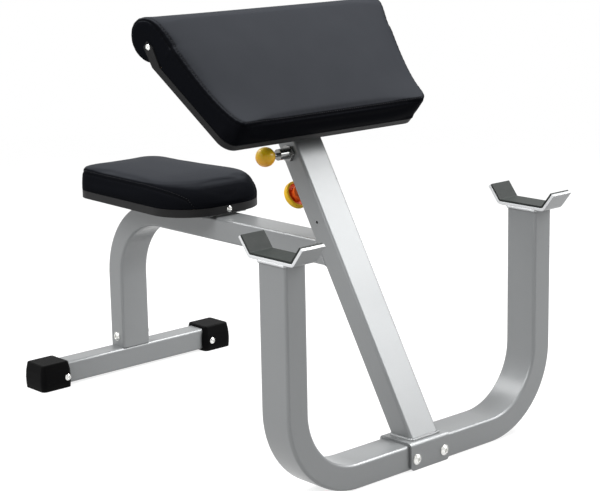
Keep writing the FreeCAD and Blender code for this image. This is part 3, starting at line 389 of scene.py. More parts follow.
# the cradle plates and their weld beads take this coat with its painted highlight
plateFinish = silverCoat("plateCoat", coatSet["plateEdge"], 1.0)
ownFinish = {"tension_knob": knobPlastic(), "pin_barrel": shadedBarrelFinish, "pin_nut": shadedBarrelFinish,
             "pull_pin": shadedBarrelFinish, "cradle_left": plateFinish, "cradle_right": plateFinish}
threadFinish = stitchThread()


def dressNodes():
    for part in frame["record"]["subparts"]:
        mesh = nodes[part["node"]].data
        mesh.materials.clear()
        mesh.materials.append(ownFinish.get(part["node"], finishes[part["material_slot"]]))


dressNodes()
print("stage: finishes on every node")


# Mesh helpers

def makePiece(name, spots, faces, finish, body):
    mesh = bpy.data.meshes.new(name)
    mesh.from_pydata([tuple(spot) for spot in spots], [], faces)
    mesh.update()
    piece = bpy.data.objects.new(name, mesh)
    scene.collection.objects.link(piece)
    mesh.materials.append(finish)
    for face in mesh.polygons:
        face.use_smooth = True
    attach(piece, body)
    return piece


def mix(low, high, share):
    return low + (high - low) * share


def smooth(share):
    share = min(1.0, max(0.0, share))
    return share * share * (3 - 2 * share)


def loopFaces(ringCount, ringSize):
    faces = []
    for ring in range(ringCount - 1):
        for at in range(ringSize):
            ahead = (at + 1) % ringSize
            low = ring * ringSize
            high = low + ringSize
            faces.append((low + at, low + ahead, high + ahead, high + at))
    faces.append(tuple(reversed(range(ringSize))))
    faces.append(tuple(range((ringCount - 1) * ringSize, ringCount * ringSize)))
    return faces


def settle(piece):  # puts what the piece's modifiers make into its mesh
    bpy.context.view_layer.update()
    made = piece.evaluated_get(bpy.context.evaluated_depsgraph_get())
    mesh = bpy.data.meshes.new_from_object(made)
    for modifier in list(piece.modifiers):
        piece.modifiers.remove(modifier)
    old = piece.data
    piece.data = mesh
    bpy.data.meshes.remove(old)
    mesh.name = piece.name


skinSet = {"passes": 2, "ease": 0.5}


def evenSkin(piece, voxel):
    remesh = piece.modifiers.new("evenSkin", "REMESH")
    remesh.mode = "VOXEL"
    remesh.voxel_size = voxel
    remesh.use_smooth_shade = True
    settle(piece)
    shape = bmesh.new()
    shape.from_mesh(piece.data)
    for _ in range(skinSet["passes"]):
        bmesh.ops.smooth_vert(shape, verts=shape.verts, factor=skinSet["ease"],
                              use_axis_x=True, use_axis_y=True, use_axis_z=True)
    shape.to_mesh(piece.data)
    shape.free()


def puffUp(piece, held, settings):  # blows the cover up against its stuffing and caps how far it moves
    rest = [spot.co.copy() for spot in piece.data.vertices]
    group = piece.vertex_groups.new(name="held")
    group.add([at for at, spot in enumerate(rest) if held(spot)], 1.0, "REPLACE")
    cloth = piece.modifiers.new("puffUp", "CLOTH")
    cloth.settings.quality = settings["quality"]
    cloth.settings.mass = settings["mass"]
    cloth.settings.tension_stiffness = settings["stretch"]
    cloth.settings.compression_stiffness = settings["stretch"]
    cloth.settings.shear_stiffness = settings["shear"]
    cloth.settings.bending_stiffness = settings["bending"]
    cloth.settings.use_pressure = True
    cloth.settings.uniform_pressure_force = settings["pressure"]
    cloth.settings.effector_weights.gravity = 0
    cloth.settings.vertex_group_mass = "held"
    cloth.point_cache.frame_start = 1
    cloth.point_cache.frame_end = settings["frames"]
    for step in range(1, settings["frames"] + 1):
        scene.frame_set(step)
    made = piece.evaluated_get(bpy.context.evaluated_depsgraph_get())
    moved = [spot.co.copy() for spot in made.data.vertices]
    piece.modifiers.remove(cloth)
    scene.frame_set(1)
    piece.vertex_groups.clear()
    steps = [end - start for start, end in zip(rest, moved)]
    for _ in range(settings["calm"]):  # the photographed covers are taut, so the swelling is evened out
        sums = [step.copy() for step in steps]
        ties = [1] * len(steps)
        for edge in piece.data.edges:
            one, two = edge.vertices
            sums[one] += steps[two]
            sums[two] += steps[one]
            ties[one] += 1
            ties[two] += 1
        steps = [total / count for total, count in zip(sums, ties)]
    farthest = 0.0
    for spot, start, step in zip(piece.data.vertices, rest, steps):
        if held(start):
            continue
        if step.length > settings["cap"]:
            step *= settings["cap"] / step.length
        farthest = max(farthest, step.length)
        spot.co = start + step
    piece.data.update()
    print("stage:", piece.name, "swelled by at most", round(farthest * 1000, 1), "mm")


def finer(piece):
    piece.modifiers.new("finer", "SUBSURF").levels = 1
    settle(piece)


def squareFoot(piece, measure, settings):  # pulls the cover's lower edge out square over the rim that carries it
    for spot in piece.data.vertices:
        inward, height, outward, down = measure(spot.co)
        if max(inward, height) > settings["footReach"] or min(inward, height) < 0:
            continue
        step = min(inward, height) * settings["footShare"]
        spot.co += (outward + down) * step
    piece.data.update()


def skinOf(piece):
    shape = bmesh.new()
    shape.from_mesh(piece.data)
    tree = BVHTree.FromBMesh(shape)
    shape.free()
    return tree


def spaced(path, gap):  # points along a path, a fixed gap apart
    spots = [path[0]]
    left = gap
    for start, end in zip(path, path[1:]):
        run = (end - start).length
        gone = 0.0
        while run - gone >= left:
            gone += left
            spots.append(start.lerp(end, gone / run))
            left = gap
        left -= run - gone
    return spots


def onSkin(tree, path):
    return [tree.find_nearest(spot)[0] for spot in path]


def sewSeam(piece, path, settings):  # draws the cover in along a seam and marks it for the finish
    path = spaced(path, settings["step"])
    tree = KDTree(len(path))
    for at, spot in enumerate(path):
        tree.insert(spot, at)
    tree.balance()
    mesh = piece.data
    layer = mesh.attributes.get("seamShade") or mesh.attributes.new("seamShade", "FLOAT", "POINT")
    normals = [spot.normal.copy() for spot in mesh.vertices]
    for spot, normal in zip(mesh.vertices, normals):
        _, at, gap = tree.find(spot.co)
        if gap > settings["reach"]:
            continue
        pucker = 0.5 + 0.5 * math.sin(2 * math.pi * at * settings["step"] / settings["puckerLength"])
        sink = settings["depth"] * math.exp(-(gap / settings["width"]) ** 2)
        ripple = settings["pucker"] * pucker * math.exp(-gap / settings["puckerReach"])
        spot.co -= normal * (sink + ripple)
        shade = math.exp(-(gap / settings["shadeWidth"]) ** 2)
        layer.data[spot.index].value = max(layer.data[spot.index].value, shade)
    mesh.update()


def stitchRow(name, piece, path, body, settings):  # one small rounded stitch after another along a path
    tree = skinOf(piece)
    path = onSkin(tree, spaced(path, settings["pitch"] / 2))
    sides = settings["sides"]
    spots, faces = [], []
    for start, end in zip(path[::2], path[1::2]):
        if (end - start).length < settings["pitch"] / 4:
            continue
        ahead = (end - start).normalized()
        out = tree.find_nearest((start + end) / 2)[1]
        side = ahead.cross(out).normalized()
        out = side.cross(ahead)
        first = len(spots)
        for share in settings["stations"]:
            girth = settings["thread"] * math.sqrt(max(settings["blunt"], 1 - (2 * share - 1) ** 4))
            rise = settings["thread"] * settings["bow"] * math.sin(math.pi * share)
            centre = start.lerp(end, share) + out * rise
            for k in range(sides):
                angle = 2 * math.pi * k / sides
                spots.append(centre + (side * math.cos(angle) + out * math.sin(angle)) * girth)
        faces += [tuple(first + at for at in face) for face in loopFaces(len(settings["stations"]), sides)]
    makePiece(name, spots, faces, threadFinish, body)


# Arm pad cover: a firm slab whose top runs over a roll at its upper edge

padSet = {"origin": (0.1931, 0.0, 0.6140), "slope": 43.9, "lowHalf": 0.255, "flare": 0.205, "corner": 0.032,
          "bottom": 0.0143, "room": 0.0003, "earRoom": 0.0036, "earFrom": 0.203, "earFull": 0.2075,
          "frontTop": 0.0670, "frontRound": 0.009, "sideRound": 0.009, "rollUp": 0.263, "rollOut": 0.031,
          "rollRadius": 0.047, "crown": 0.004, "dip": 0.009, "peak": 0.006, "peakReach": 0.045,
          "voxel": 0.004, "start": 0.0012, "earUp": 0.217, "earTop": 0.050, "seamDown": 0.0075, "seamIn": 0.0075,
          "seamBack": 0.0008, "seamTop": 0.23, "footReach": 0.007, "footShare": 0.9, "heldRise": 0.004,
          "heldIn": 0.014, "boardSteps": 16, "wallSteps": 8, "roundSteps": 6, "topSteps": 24, "rollSteps": 28,
          "sideAngles": (0, 22, 45, 68), "rows": 24, "frontSteps": 40}
puffSet = {"pressure": 4.0, "stretch": 18.0, "shear": 6.0, "bending": 2.0, "mass": 0.4, "quality": 5, "frames": 20,
           "cap": 0.0026, "calm": 24}
seamSet = {"depth": 0.0016, "width": 0.0026, "reach": 0.030, "pucker": 0.0005, "puckerLength": 0.013,
           "puckerReach": 0.007, "shadeWidth": 0.0016, "step": 0.0015}
topSeamSet = {**seamSet, "depth": 0.0005, "pucker": 0.0002, "width": 0.0018, "shadeWidth": 0.0009}
stitchSet = {"pitch": 0.0058, "thread": 0.00055, "bow": 0.6, "blunt": 0.04, "stations": (0.0, 0.2, 0.5, 0.8, 1.0),
             "sides": 6}
tilt = math.radians(padSet["slope"])
padAlong = Vector((-math.cos(tilt), 0, math.sin(tilt)))
padOut = Vector((math.sin(tilt), 0, math.cos(tilt)))


def padSpot(u, y, t):
    return Vector(padSet["origin"]) + padAlong * u + padOut * t + Vector((0, y, 0))


def padCoords(spot):
    arm = spot - Vector(padSet["origin"])
    return arm.dot(padAlong), arm.y, arm.dot(padOut)


def padHalf(u):  # half the pad's width at a height on the slope, with its lower corners rounded
    corner, flare = padSet["corner"], padSet["flare"]
    steep = math.hypot(1, flare)
    u = max(0.0, u)
    if u > corner * (1 - flare / steep):
        return padSet["lowHalf"] + flare * u
    middle = padSet["lowHalf"] + corner * (flare - steep)
    return middle + math.sqrt(corner * corner - (corner - u) ** 2)


def padSide(u):  # where the cover's side runs: over the shroud's rim, and inside its ears
    share = smooth((u - padSet["earFrom"]) / (padSet["earFull"] - padSet["earFrom"]))
    return padHalf(u) - mix(padSet["room"], padSet["earRoom"], share)


def padSection():  # (up the slope, out of the face, share of the side's rounding, share of the crown)
    s = padSet
    centre = Vector((s["rollUp"], s["rollOut"]))
    meet = math.asin((s["bottom"] - s["rollOut"]) / s["rollRadius"])
    lastAngle = -math.pi - meet
    section = []
    rollFoot = centre.x + s["rollRadius"] * math.cos(lastAngle)
    for k in range(s["boardSteps"]):
        section.append((rollFoot * (1 - k / s["boardSteps"]), s["bottom"], 0.0, 0.0))
    wall = s["frontTop"] - s["frontRound"]
    for k in range(s["wallSteps"]):
        share = k / s["wallSteps"]
        section.append((0.0, mix(s["bottom"], wall, share), share, 0.0))
    for k in range(s["roundSteps"]):
        angle = math.pi - math.pi / 2 * k / s["roundSteps"]
        section.append((s["frontRound"] * (1 + math.cos(angle)), wall + s["frontRound"] * math.sin(angle), 1.0, 0.0))
    rollTop = s["rollOut"] + s["rollRadius"]
    for k in range(s["topSteps"]):
        share = k / s["topSteps"]
        u = mix(s["frontRound"], s["rollUp"], share)
        section.append((u, mix(s["frontTop"], rollTop, smooth(share)), 1.0, math.sin(math.pi * share)))
    for k in range(s["rollSteps"]):
        angle = mix(math.pi / 2, lastAngle, k / s["rollSteps"])
        spot = centre + Vector((math.cos(angle), math.sin(angle))) * s["rollRadius"]
        section.append((spot.x, spot.y, 1.0, 0.0))
    return section


def padRing(section, inset, y):  # the section drawn in by an inset; y takes a height on the slope
    count = len(section)
    ring = []
    for at, (u, t, share, crown) in enumerate(section):
        before, after = section[at - 1], section[(at + 1) % count]
        ahead = Vector((after[0] - before[0], after[1] - before[1])).normalized()
        low = inset * share + padSet["start"]
        u += ahead.y * low
        t -= ahead.x * low
        ring.append((u, y(u), t, crown))
    return ring


def padTop(u, t, crown, bow):  # crowned in the middle, drawn down along the sides, peaked at the lower corners
    side = (1 - bow) ** 2
    rise = (t - padSet["bottom"]) / (padSet["frontTop"] - padSet["bottom"])
    peak = padSet["peak"] * math.exp(-(u / padSet["peakReach"]) ** 2) * max(0.0, rise) ** 2
    return t + crown * (bow * padSet["crown"] - side * padSet["dip"]) + side * peak


def padCover():
    section = padSection()
    soft = padSet["sideRound"]
    stations = []
    for degrees in padSet["sideAngles"]:
        angle = math.radians(degrees)
        stations.append((soft * (1 - math.cos(angle)), soft * (1 - math.sin(angle))))
    rings = []
    for back, inset in stations:
        rings.append((padRing(section, inset, lambda u: -(padSide(u) - back)), 0.0))
    for k in range(padSet["rows"] + 1):
        across = 2 * k / padSet["rows"] - 1
        rings.append((padRing(section, 0.0, lambda u: across * (padSide(u) - soft)), 1 - across * across))
    for back, inset in reversed(stations):
        rings.append((padRing(section, inset, lambda u: padSide(u) - back), 0.0))
    spots = []
    for ring, bow in rings:
        spots += [padSpot(u, y, padTop(u, t, crown, bow)) for u, y, t, crown in ring]
    piece = makePiece("armPadCover", spots, loopFaces(len(rings), len(section)), finishes["vinyl"], "arm_rest")
    evenSkin(piece, padSet["voxel"])

    def held(spot):
        u, y, t = padCoords(spot)
        onBoard = t < padSet["bottom"] + padSet["heldRise"] and u < padSet["rollUp"] - padSet["rollRadius"]
        byEar = u > padSet["earFrom"] and t < padSet["earTop"] and abs(y) > padHalf(u) - padSet["heldIn"]
        return onBoard or byEar

    def footing(spot):
        u, y, t = padCoords(spot)
        side = (padSide(u) - abs(y)) / math.hypot(1, padSet["flare"])
        if u > padSet["earUp"]:
            side = padSet["corner"]  # the roll keeps its round foot
        if u < side and u < padSet["corner"]:
            return u, t - padSet["bottom"], -padAlong, -padOut
        return side, t - padSet["bottom"], Vector((0, math.copysign(1, y), 0)), -padOut

    puffUp(piece, held, puffSet)
    finer(piece)
    squareFoot(piece, footing, padSet)
    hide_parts("pad_cushion")
    return piece


def padEdge(back, sink):  # a path round the pad's top edges, this far in from the sides and below the top
    top = [(u, padTop(u, t, crown, 0.0)) for u, t, _, crown in padSection()
           if t > padSet["frontTop"] - padSet["frontRound"] or u > padSet["seamTop"]]
    side = []
    for at, (u, t) in enumerate(top[1:-1], start=1):
        ahead = Vector((top[at + 1][0] - top[at - 1][0], top[at + 1][1] - top[at - 1][1])).normalized()
        side.append((u + ahead.y * sink, t - ahead.x * sink))
    side = [(u, t) for u, t in side if u > back]
    left = [padSpot(u, back - padSide(u - back * 0.5), t) for u, t in side]
    right = [padSpot(u, padSide(u - back * 0.5) - back, t) for u, t in side]
    first = side[0]
    reach = abs(padCoords(left[0])[1])
    steps = padSet["frontSteps"]
    front = [padSpot(first[0], mix(-reach, reach, k / steps), first[1]) for k in range(1, steps)]
    return left[::-1] + front + right


def makeArmPad():
    piece = padCover()
    seam = onSkin(skinOf(piece), padEdge(padSet["seamBack"], padSet["seamDown"]))
    sewSeam(piece, seam, seamSet)
    topStitch = onSkin(skinOf(piece), padEdge(padSet["seamBack"] + padSet["seamIn"], 0.0))
    sewSeam(piece, topStitch, topSeamSet)
    stitchRow("armPadStitches", piece, topStitch, "arm_rest", stitchSet)


makeArmPad()
print("stage: arm pad sewn")


# Seat cover: boxed at the rear and sides, with a waterfall front

seatSet = {"rear": -0.526, "floor": 0.4353, "length": 0.420, "rearHalf": 0.118, "frontHalf": 0.137,
           "rearRound": 0.058, "frontRound": 0.098, "foam": 0.050, "crown": 0.005, "pinch": 0.0026, "edge": 0.015,
           "waterfall": 0.056, "edgePower": 4, "fallPower": 2.2, "leastRound": 0.012, "seamRise": 0.80,
           "stitchRise": 0.94, "voxel": 0.004, "start": 0.0012, "footReach": 0.007, "footShare": 0.9,
           "heldRise": 0.004, "pinchRings": 3, "pinchRise": 0.05, "topRings": 4, "topStep": 0.022,
           "levels": (0.3, 0.45, 0.6, 0.72, 0.82, 0.9, 0.95, 0.98, 1.0), "arcSteps": 12, "dropSteps": 8,
           "runSteps": 20}


def seatLoop(inset, front):  # plan of the seat drawn in by this much, and by more at its front
    s = seatSet
    rear = s["rear"] + inset
    nose = s["rear"] + s["length"] - front
    corners = [Vector((rear, -(s["rearHalf"] - inset))), Vector((nose, -(s["frontHalf"] - inset))),
               Vector((nose, s["frontHalf"] - inset)), Vector((rear, s["rearHalf"] - inset))]
    rearRound = max(s["leastRound"], s["rearRound"] - inset)
    noseRound = max(s["leastRound"], s["frontRound"] - inset)
    loop = []
    for at, radius in enumerate((rearRound, noseRound, noseRound, rearRound)):
        corner = corners[at]
        back = (corners[at - 1] - corner).normalized()
        ahead = (corners[(at + 1) % 4] - corner).normalized()
        half = back.angle(ahead) / 2
        centre = corner + (back + ahead).normalized() * (radius / math.sin(half))
        start = corner + back * (radius / math.tan(half)) - centre
        sweep = math.pi - 2 * half
        for k in range(s["arcSteps"] + 1):
            turn = sweep * k / s["arcSteps"]
            loop.append(centre + Vector((start.x * math.cos(turn) - start.y * math.sin(turn),
                                         start.x * math.sin(turn) + start.y * math.cos(turn))))
    return loop


def seatInsets(rise):  # how far the side and the front draw in at a share of the height
    edge, fall = seatSet["edgePower"], seatSet["fallPower"]
    side = seatSet["edge"] * (1 - (1 - rise ** edge) ** (1 / edge))
    front = seatSet["waterfall"] * (1 - (1 - rise ** fall) ** (1 / fall))
    return side, front


def seatRings():
    s = seatSet
    rings = [(s["start"] + s["pinch"], s["start"] + s["pinch"], 0.0)]
    for k in range(1, s["pinchRings"] + 1):
        inset = s["start"] + s["pinch"] * (1 - k / s["pinchRings"])
        rings.append((inset, inset, s["pinchRise"] * k))
    for rise in s["levels"]:
        side, front = seatInsets(rise)
        rings.append((s["start"] + side, s["start"] + front, rise))
    for k in range(1, s["topRings"] + 1):
        more = s["topStep"] * k
        rings.append((s["start"] + s["edge"] + more, s["start"] + s["waterfall"] + more, 1 + k / s["topRings"]))
    return rings


def seatHeight(rise):
    s = seatSet
    if rise <= 1:
        return s["floor"] + s["foam"] * rise
    return s["floor"] + s["foam"] + s["crown"] * math.sin(math.pi / 2 * (rise - 1))


def seatCover():
    rings = seatRings()
    spots = []
    for side, front, rise in rings:
        spots += [Vector((spot.x, spot.y, seatHeight(rise))) for spot in seatLoop(side, front)]
    count = len(seatLoop(0.0, 0.0))
    piece = makePiece("seatCover", spots, loopFaces(len(rings), count), seatVinyl, "frame")
    evenSkin(piece, seatSet["voxel"])
    outline = [Vector((spot.x, spot.y, 0)) for spot in seatLoop(seatSet["pinch"], seatSet["pinch"])]

    def footing(spot):
        flat = Vector((spot.x, spot.y, 0))
        gap, outward = 1.0, Vector((0, 0, 0))
        for start, end in zip(outline, outline[1:] + outline[:1]):
            along = (end - start).normalized()
            out = Vector((along.y, -along.x, 0))
            inward = (start - flat).dot(out)
            if inward < gap:
                gap, outward = inward, out
        return gap, spot.z - seatSet["floor"], outward, Vector((0, 0, -1))

    puffUp(piece, lambda spot: spot.z < seatSet["floor"] + seatSet["heldRise"], puffSet)
    finer(piece)
    squareFoot(piece, footing, seatSet)
    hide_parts("seat_cushion")
    return piece


def seatEdge(rise):  # from one front corner round the rear to the other, dropping to the shroud at both ends
    s = seatSet
    size, drop, runSteps = s["arcSteps"] + 1, s["dropSteps"], s["runSteps"]
    level = seatLoop(*seatInsets(rise))
    rearRight = level[0:size]
    rearLeft = level[3 * size:4 * size]

    def cornerDrop(corner, steps):
        spots = []
        for k in steps:
            share = k / drop
            height = rise * math.sqrt(1 - share * share)
            spot = seatLoop(*seatInsets(height))[corner * size + (k if corner == 1 else s["arcSteps"] - k)]
            spots.append(Vector((spot.x, spot.y, seatHeight(height))))
        return spots

    def straight(start, end):
        return [start.lerp(end, k / runSteps) for k in range(1, runSteps)]

    head = cornerDrop(2, range(drop, -1, -1))
    tail = cornerDrop(1, range(0, drop + 1))
    plan = straight(head[-1].xy, rearLeft[0]) + rearLeft + straight(rearLeft[-1], rearRight[0]) + rearRight
    plan += straight(rearRight[-1], tail[0].xy)
    return head + [Vector((spot.x, spot.y, seatHeight(rise))) for spot in plan] + tail


def makeSeat():
    piece = seatCover()
    seam = onSkin(skinOf(piece), seatEdge(seatSet["seamRise"]))
    sewSeam(piece, seam, seamSet)
    topStitch = onSkin(skinOf(piece), seatEdge(seatSet["stitchRise"]))
    sewSeam(piece, topStitch, topSeamSet)
    stitchRow("seatStitches", piece, topStitch, "frame", stitchSet)


makeSeat()
print("stage: seat sewn")


# Weld beads where tubes and plates meet

weldSet = {"bead": 0.0026, "footBead": 0.0040, "plateBead": 0.0036, "pitch": 0.0042, "ripple": 0.14,
           "uneven": 0.1, "unevenScale": 220, "steer": (0.31, 0.17, 0.93), "sides": 10, "front": 0.440, "lean": 30.5,
           "saddleTop": 0.055, "tubeWide": 0.075, "tubeDeep": 0.050, "corner": 0.006, "gauge": 0.335,
           "uprightTop": 0.458, "plateSink": 0.0016, "beamMiddle": 0.387, "railIn": 0.002}


def roundRect(halfWide, halfDeep, corner, steps=6):
    spots = []
    for signX, signY, first in ((1, 1, 0), (-1, 1, 90), (-1, -1, 180), (1, -1, 270)):
        for k in range(steps + 1):
            angle = math.radians(first + 90 * k / steps)
            spots.append((signX * (halfWide - corner) + corner * math.cos(angle),
                          signY * (halfDeep - corner) + corner * math.sin(angle)))
    return spots + [spots[0]]


def weldBead(name, path, bead, finish):
    s = weldSet
    path = spaced(path, s["pitch"] / 4)
    spots = []
    for at, spot in enumerate(path):
        ahead = (path[min(at + 1, len(path) - 1)] - path[max(at - 1, 0)]).normalized()
        side = ahead.cross(Vector(s["steer"])).normalized()  # askew to every path, so no ring collapses
        out = side.cross(ahead)
        lumps = s["uneven"] * noise.noise(spot * s["unevenScale"])
        girth = bead * (1 + s["ripple"] * math.sin(math.pi * at / 2) + lumps)
        for k in range(s["sides"]):
            angle = 2 * math.pi * k / s["sides"]
            spots.append(spot + (side * math.cos(angle) + out * math.sin(angle)) * girth)
    makePiece(name, spots, loopFaces(len(path), s["sides"]), finish, "frame")


def makeWelds():
    s = weldSet
    lean = math.radians(s["lean"])
    foot = roundRect(s["tubeDeep"] / 2 / math.cos(lean), s["tubeWide"] / 2, s["corner"])
    weldBead("weldPostFoot", [Vector((s["front"] + x, y, s["saddleTop"])) for x, y in foot], s["footBead"],
             finishes["frame_paint"])
    out = Vector((-math.cos(lean), 0, -math.sin(lean)))
    rise = Vector((-math.sin(lean), 0, math.cos(lean)))
    rear = Vector((s["front"], 0, s["saddleTop"])) + out * (s["tubeDeep"] / 2)
    along = (s["beamMiddle"] - rear.z) / rise.z
    centre = rear + rise * along
    joint = roundRect(s["tubeDeep"] / 2 / math.cos(lean), s["tubeWide"] / 2 - s["railIn"], s["corner"])
    weldBead("weldSeatRail", [centre + rise * x + Vector((0, y, 0)) for x, y in joint], s["bead"],
             finishes["frame_paint"])
    top = roundRect(s["tubeWide"] / 2, s["tubeDeep"] / 2, s["corner"])
    for name, side in (("weldCradleLeft", 1), ("weldCradleRight", -1)):
        height = s["uprightTop"] - s["plateSink"]
        path = [Vector((s["front"] + x, side * s["gauge"] + y, height)) for x, y in top]
        weldBead(name, path, s["plateBead"], plateFinish)


makeWelds()
print("stage: welds laid")


# Bolts with a hexagon socket in their heads

boltSet = {"socketShare": 0.42, "socketRim": 1.18, "socketLip": 0.05, "socketDepth": 0.62, "bevel": 0.12,
           "seatShare": 0.97, "tipShare": 0.8, "tipRun": 0.2, "domeRings": 6, "sides": 36, "mergeGap": 1e-5}
boltRows = {
    "saddleBolts": {"node": "saddle_bolts", "axis": (1, 0, 0), "headWide": 0.019, "headRise": 0.005,
                    "shankWide": 0.010},
    "legBolt": {"node": "leg_bolt", "axis": (0, -1, 0), "headWide": 0.019, "headRise": 0.005, "shankWide": 0.010},
    "bootBolts": {"node": "end_cap_bolts", "axis": (1, 0, 0), "headWide": 0.0152, "headRise": 0.004,
                  "shankWide": 0.008},
}


def islands(node):  # the lowest and highest corner of each separate solid in a node
    shape = bmesh.new()
    shape.from_mesh(nodes[node].data)
    bmesh.ops.remove_doubles(shape, verts=shape.verts, dist=boltSet["mergeGap"])
    left = set(shape.verts)
    boxes = []
    while left:
        queue = [left.pop()]
        found = list(queue)
        while queue:
            spot = queue.pop()
            for edge in spot.link_edges:
                other = edge.other_vert(spot)
                if other in left:
                    left.remove(other)
                    queue.append(other)
                    found.append(other)
        boxes.append((Vector([min(v.co[k] for v in found) for k in range(3)]),
                      Vector([max(v.co[k] for v in found) for k in range(3)])))
    shape.free()
    return sorted(boxes, key=lambda box: tuple(box[0]))  # a set has no fixed order, and each run is to be the same


def hexReach(angle, across):  # distance from the middle of a hexagon to its side
    step = math.pi / 3
    return across / 2 / math.cos((angle % step) - step / 2)


def boltProfile(head, rise, shank, length):
    s = boltSet
    dome = (head * head + rise * rise) / (2 * rise)
    socket = head * s["socketShare"] * s["socketRim"]
    rings = [(shank * s["tipShare"], -length, False), (shank, -length + shank * s["tipRun"], False),
             (shank, 0.0, False), (head * s["seatShare"], 0.0, False), (head, rise * s["bevel"], False)]
    for k in range(1, s["domeRings"] + 1):
        radius = mix(head, socket, k / s["domeRings"])
        rings.append((radius, max(rise * s["bevel"], rise - dome + math.sqrt(dome * dome - radius * radius)), False))
    lip = rings[-1][1]
    rings.append((head * s["socketShare"] * 2, lip - rise * s["socketLip"], True))
    rings.append((head * s["socketShare"] * 2, lip - rise * s["socketDepth"], True))
    return rings


def makeBolts(name, node, axis, headWide, headRise, shankWide):
    axis = Vector(axis)
    letter = max(range(3), key=lambda k: abs(axis[k]))
    side = Vector((0, 0, 1)).cross(axis).normalized()
    over = axis.cross(side)
    spots, faces = [], []
    for low, high in islands(node):
        middle = (low + high) / 2
        top = high[letter] if axis[letter] > 0 else low[letter]
        seat = middle.copy()
        seat[letter] = top - axis[letter] * headRise
        length = (high - low)[letter] - headRise
        first = len(spots)
        rings = boltProfile(headWide / 2, headRise, shankWide / 2, length)
        for radius, height, isSocket in rings:
            for k in range(boltSet["sides"]):
                angle = 2 * math.pi * k / boltSet["sides"]
                reach = hexReach(angle, radius) if isSocket else radius
                spots.append(seat + axis * height + (side * math.cos(angle) + over * math.sin(angle)) * reach)
        faces += [tuple(first + at for at in face) for face in loopFaces(len(rings), boltSet["sides"])]
    piece = makePiece(name, spots, faces, finishes["zinc"], "frame")
    for face in piece.data.polygons:
        face.use_smooth = False
    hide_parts(node)


for name, row in boltRows.items():
    makeBolts(name, **row)
print("stage: bolts made")


# Cross-headed screws at the ends of the two shrouds

screwSet = {"wide": 0.0140, "rise": 0.0036, "shank": 0.0025, "length": 0.003, "slotHalf": 0.0009, "slotReach": 0.0040,
            "slotDepth": 0.0013, "seatShare": 0.96, "rimShare": 0.16, "domePower": 2.4, "twist": 0.6, "sides": 40,
            "rings": 20}


def makeScrews(name, node, body, outward):
    s = screwSet
    sides, half = s["sides"], s["wide"] / 2
    rim = s["rimShare"]
    profile = [(s["shank"], -s["length"]), (s["shank"], 0.0), (half * s["seatShare"], 0.0), (half, s["rise"] * rim)]
    for k in range(1, s["rings"]):
        reach = half * (1 - k / s["rings"])
        profile.append((reach, s["rise"] * (rim + (1 - rim) * (1 - (reach / half) ** s["domePower"]))))
    spots, faces = [], []
    for low, high in islands(node):
        middle = (low + high) / 2
        axis = outward(middle)
        side = Vector((0, 0, 1)).cross(axis).normalized()
        over = axis.cross(side)
        seat = middle - axis * (abs((high - low).dot(Vector([abs(part) for part in axis]))) / 2 - s["length"])
        first = len(spots)
        for reach, height in profile:
            for k in range(sides):
                angle = 2 * math.pi * k / sides + s["twist"]
                x, y = reach * math.cos(angle), reach * math.sin(angle)
                narrow, wide = sorted((abs(x), abs(y)))
                inSlot = height > 0 and narrow < s["slotHalf"] and wide < s["slotReach"]
                spots.append(seat + axis * (height - s["slotDepth"] * inSlot) + side * x + over * y)
        faces += [tuple(first + at for at in face) for face in loopFaces(len(profile), sides)]
    piece = makePiece(name, spots, faces, finishes["zinc"], body)
    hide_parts(node)


def padScrewAxis(middle):
    flare = math.atan(padSet["flare"])
    return Vector((0, math.copysign(math.cos(flare), middle.y), 0)) - padAlong * math.sin(flare)


def seatScrewAxis(middle):
    return Vector((1 if middle.x > seatSet["rear"] + seatSet["length"] / 2 else -1, 0, 0))


makeScrews("padShroudScrews", "pad_shroud_screws", "arm_rest", padScrewAxis)
makeScrews("seatShroudScrews", "seat_shroud_screws", "frame", seatScrewAxis)
print("stage: screws made")


# Studio

stageSet = {"floor": (0.26, 0.26, 0.26, 1), "glow": 0.80, "floorSize": 5.0, "floorDrop": 0.0004, "fadeFrom": 1.6,
            "fadeTo": 4.2, "ambient": 0.24}
lampSet = {
    "softboxLamp": {"place": (0.60, 1.80, 2.95), "aim": (0.1, 0.0, 0.60), "size": 1.7, "power": 125},
    "postLamp": {"place": (1.80, 1.90, 1.80), "aim": (0.3, 0.0, 0.3), "size": 1.6, "power": 46},
    "backLamp": {"place": (-2.0, -0.8, 2.45), "aim": (0.0, 0.0, 0.4), "size": 1.4, "power": 34},
    "overheadLamp": {"place": (-0.3, -0.6, 3.2), "aim": (0.0, 0.0, 0.4), "size": 2.0, "power": 35},
    "sideLamp": {"place": (0.1, -2.6, 2.6), "aim": (0.0, 0.0, 0.4), "size": 2.0, "power": 92},
}


def plainWhite(wire):  # 1 where the camera, a reflection or a view through glass looks straight at it
    path = wire.node("ShaderNodeLightPath", output="Is Camera Ray")
    seen = path.socket.node.outputs
    glossy = Wire(wire.tree, seen["Is Glossy Ray"])
    through = Wire(wire.tree, seen["Is Transmission Ray"])
    return wire.maths("MAXIMUM", wire.maths("MAXIMUM", path, glossy), through)


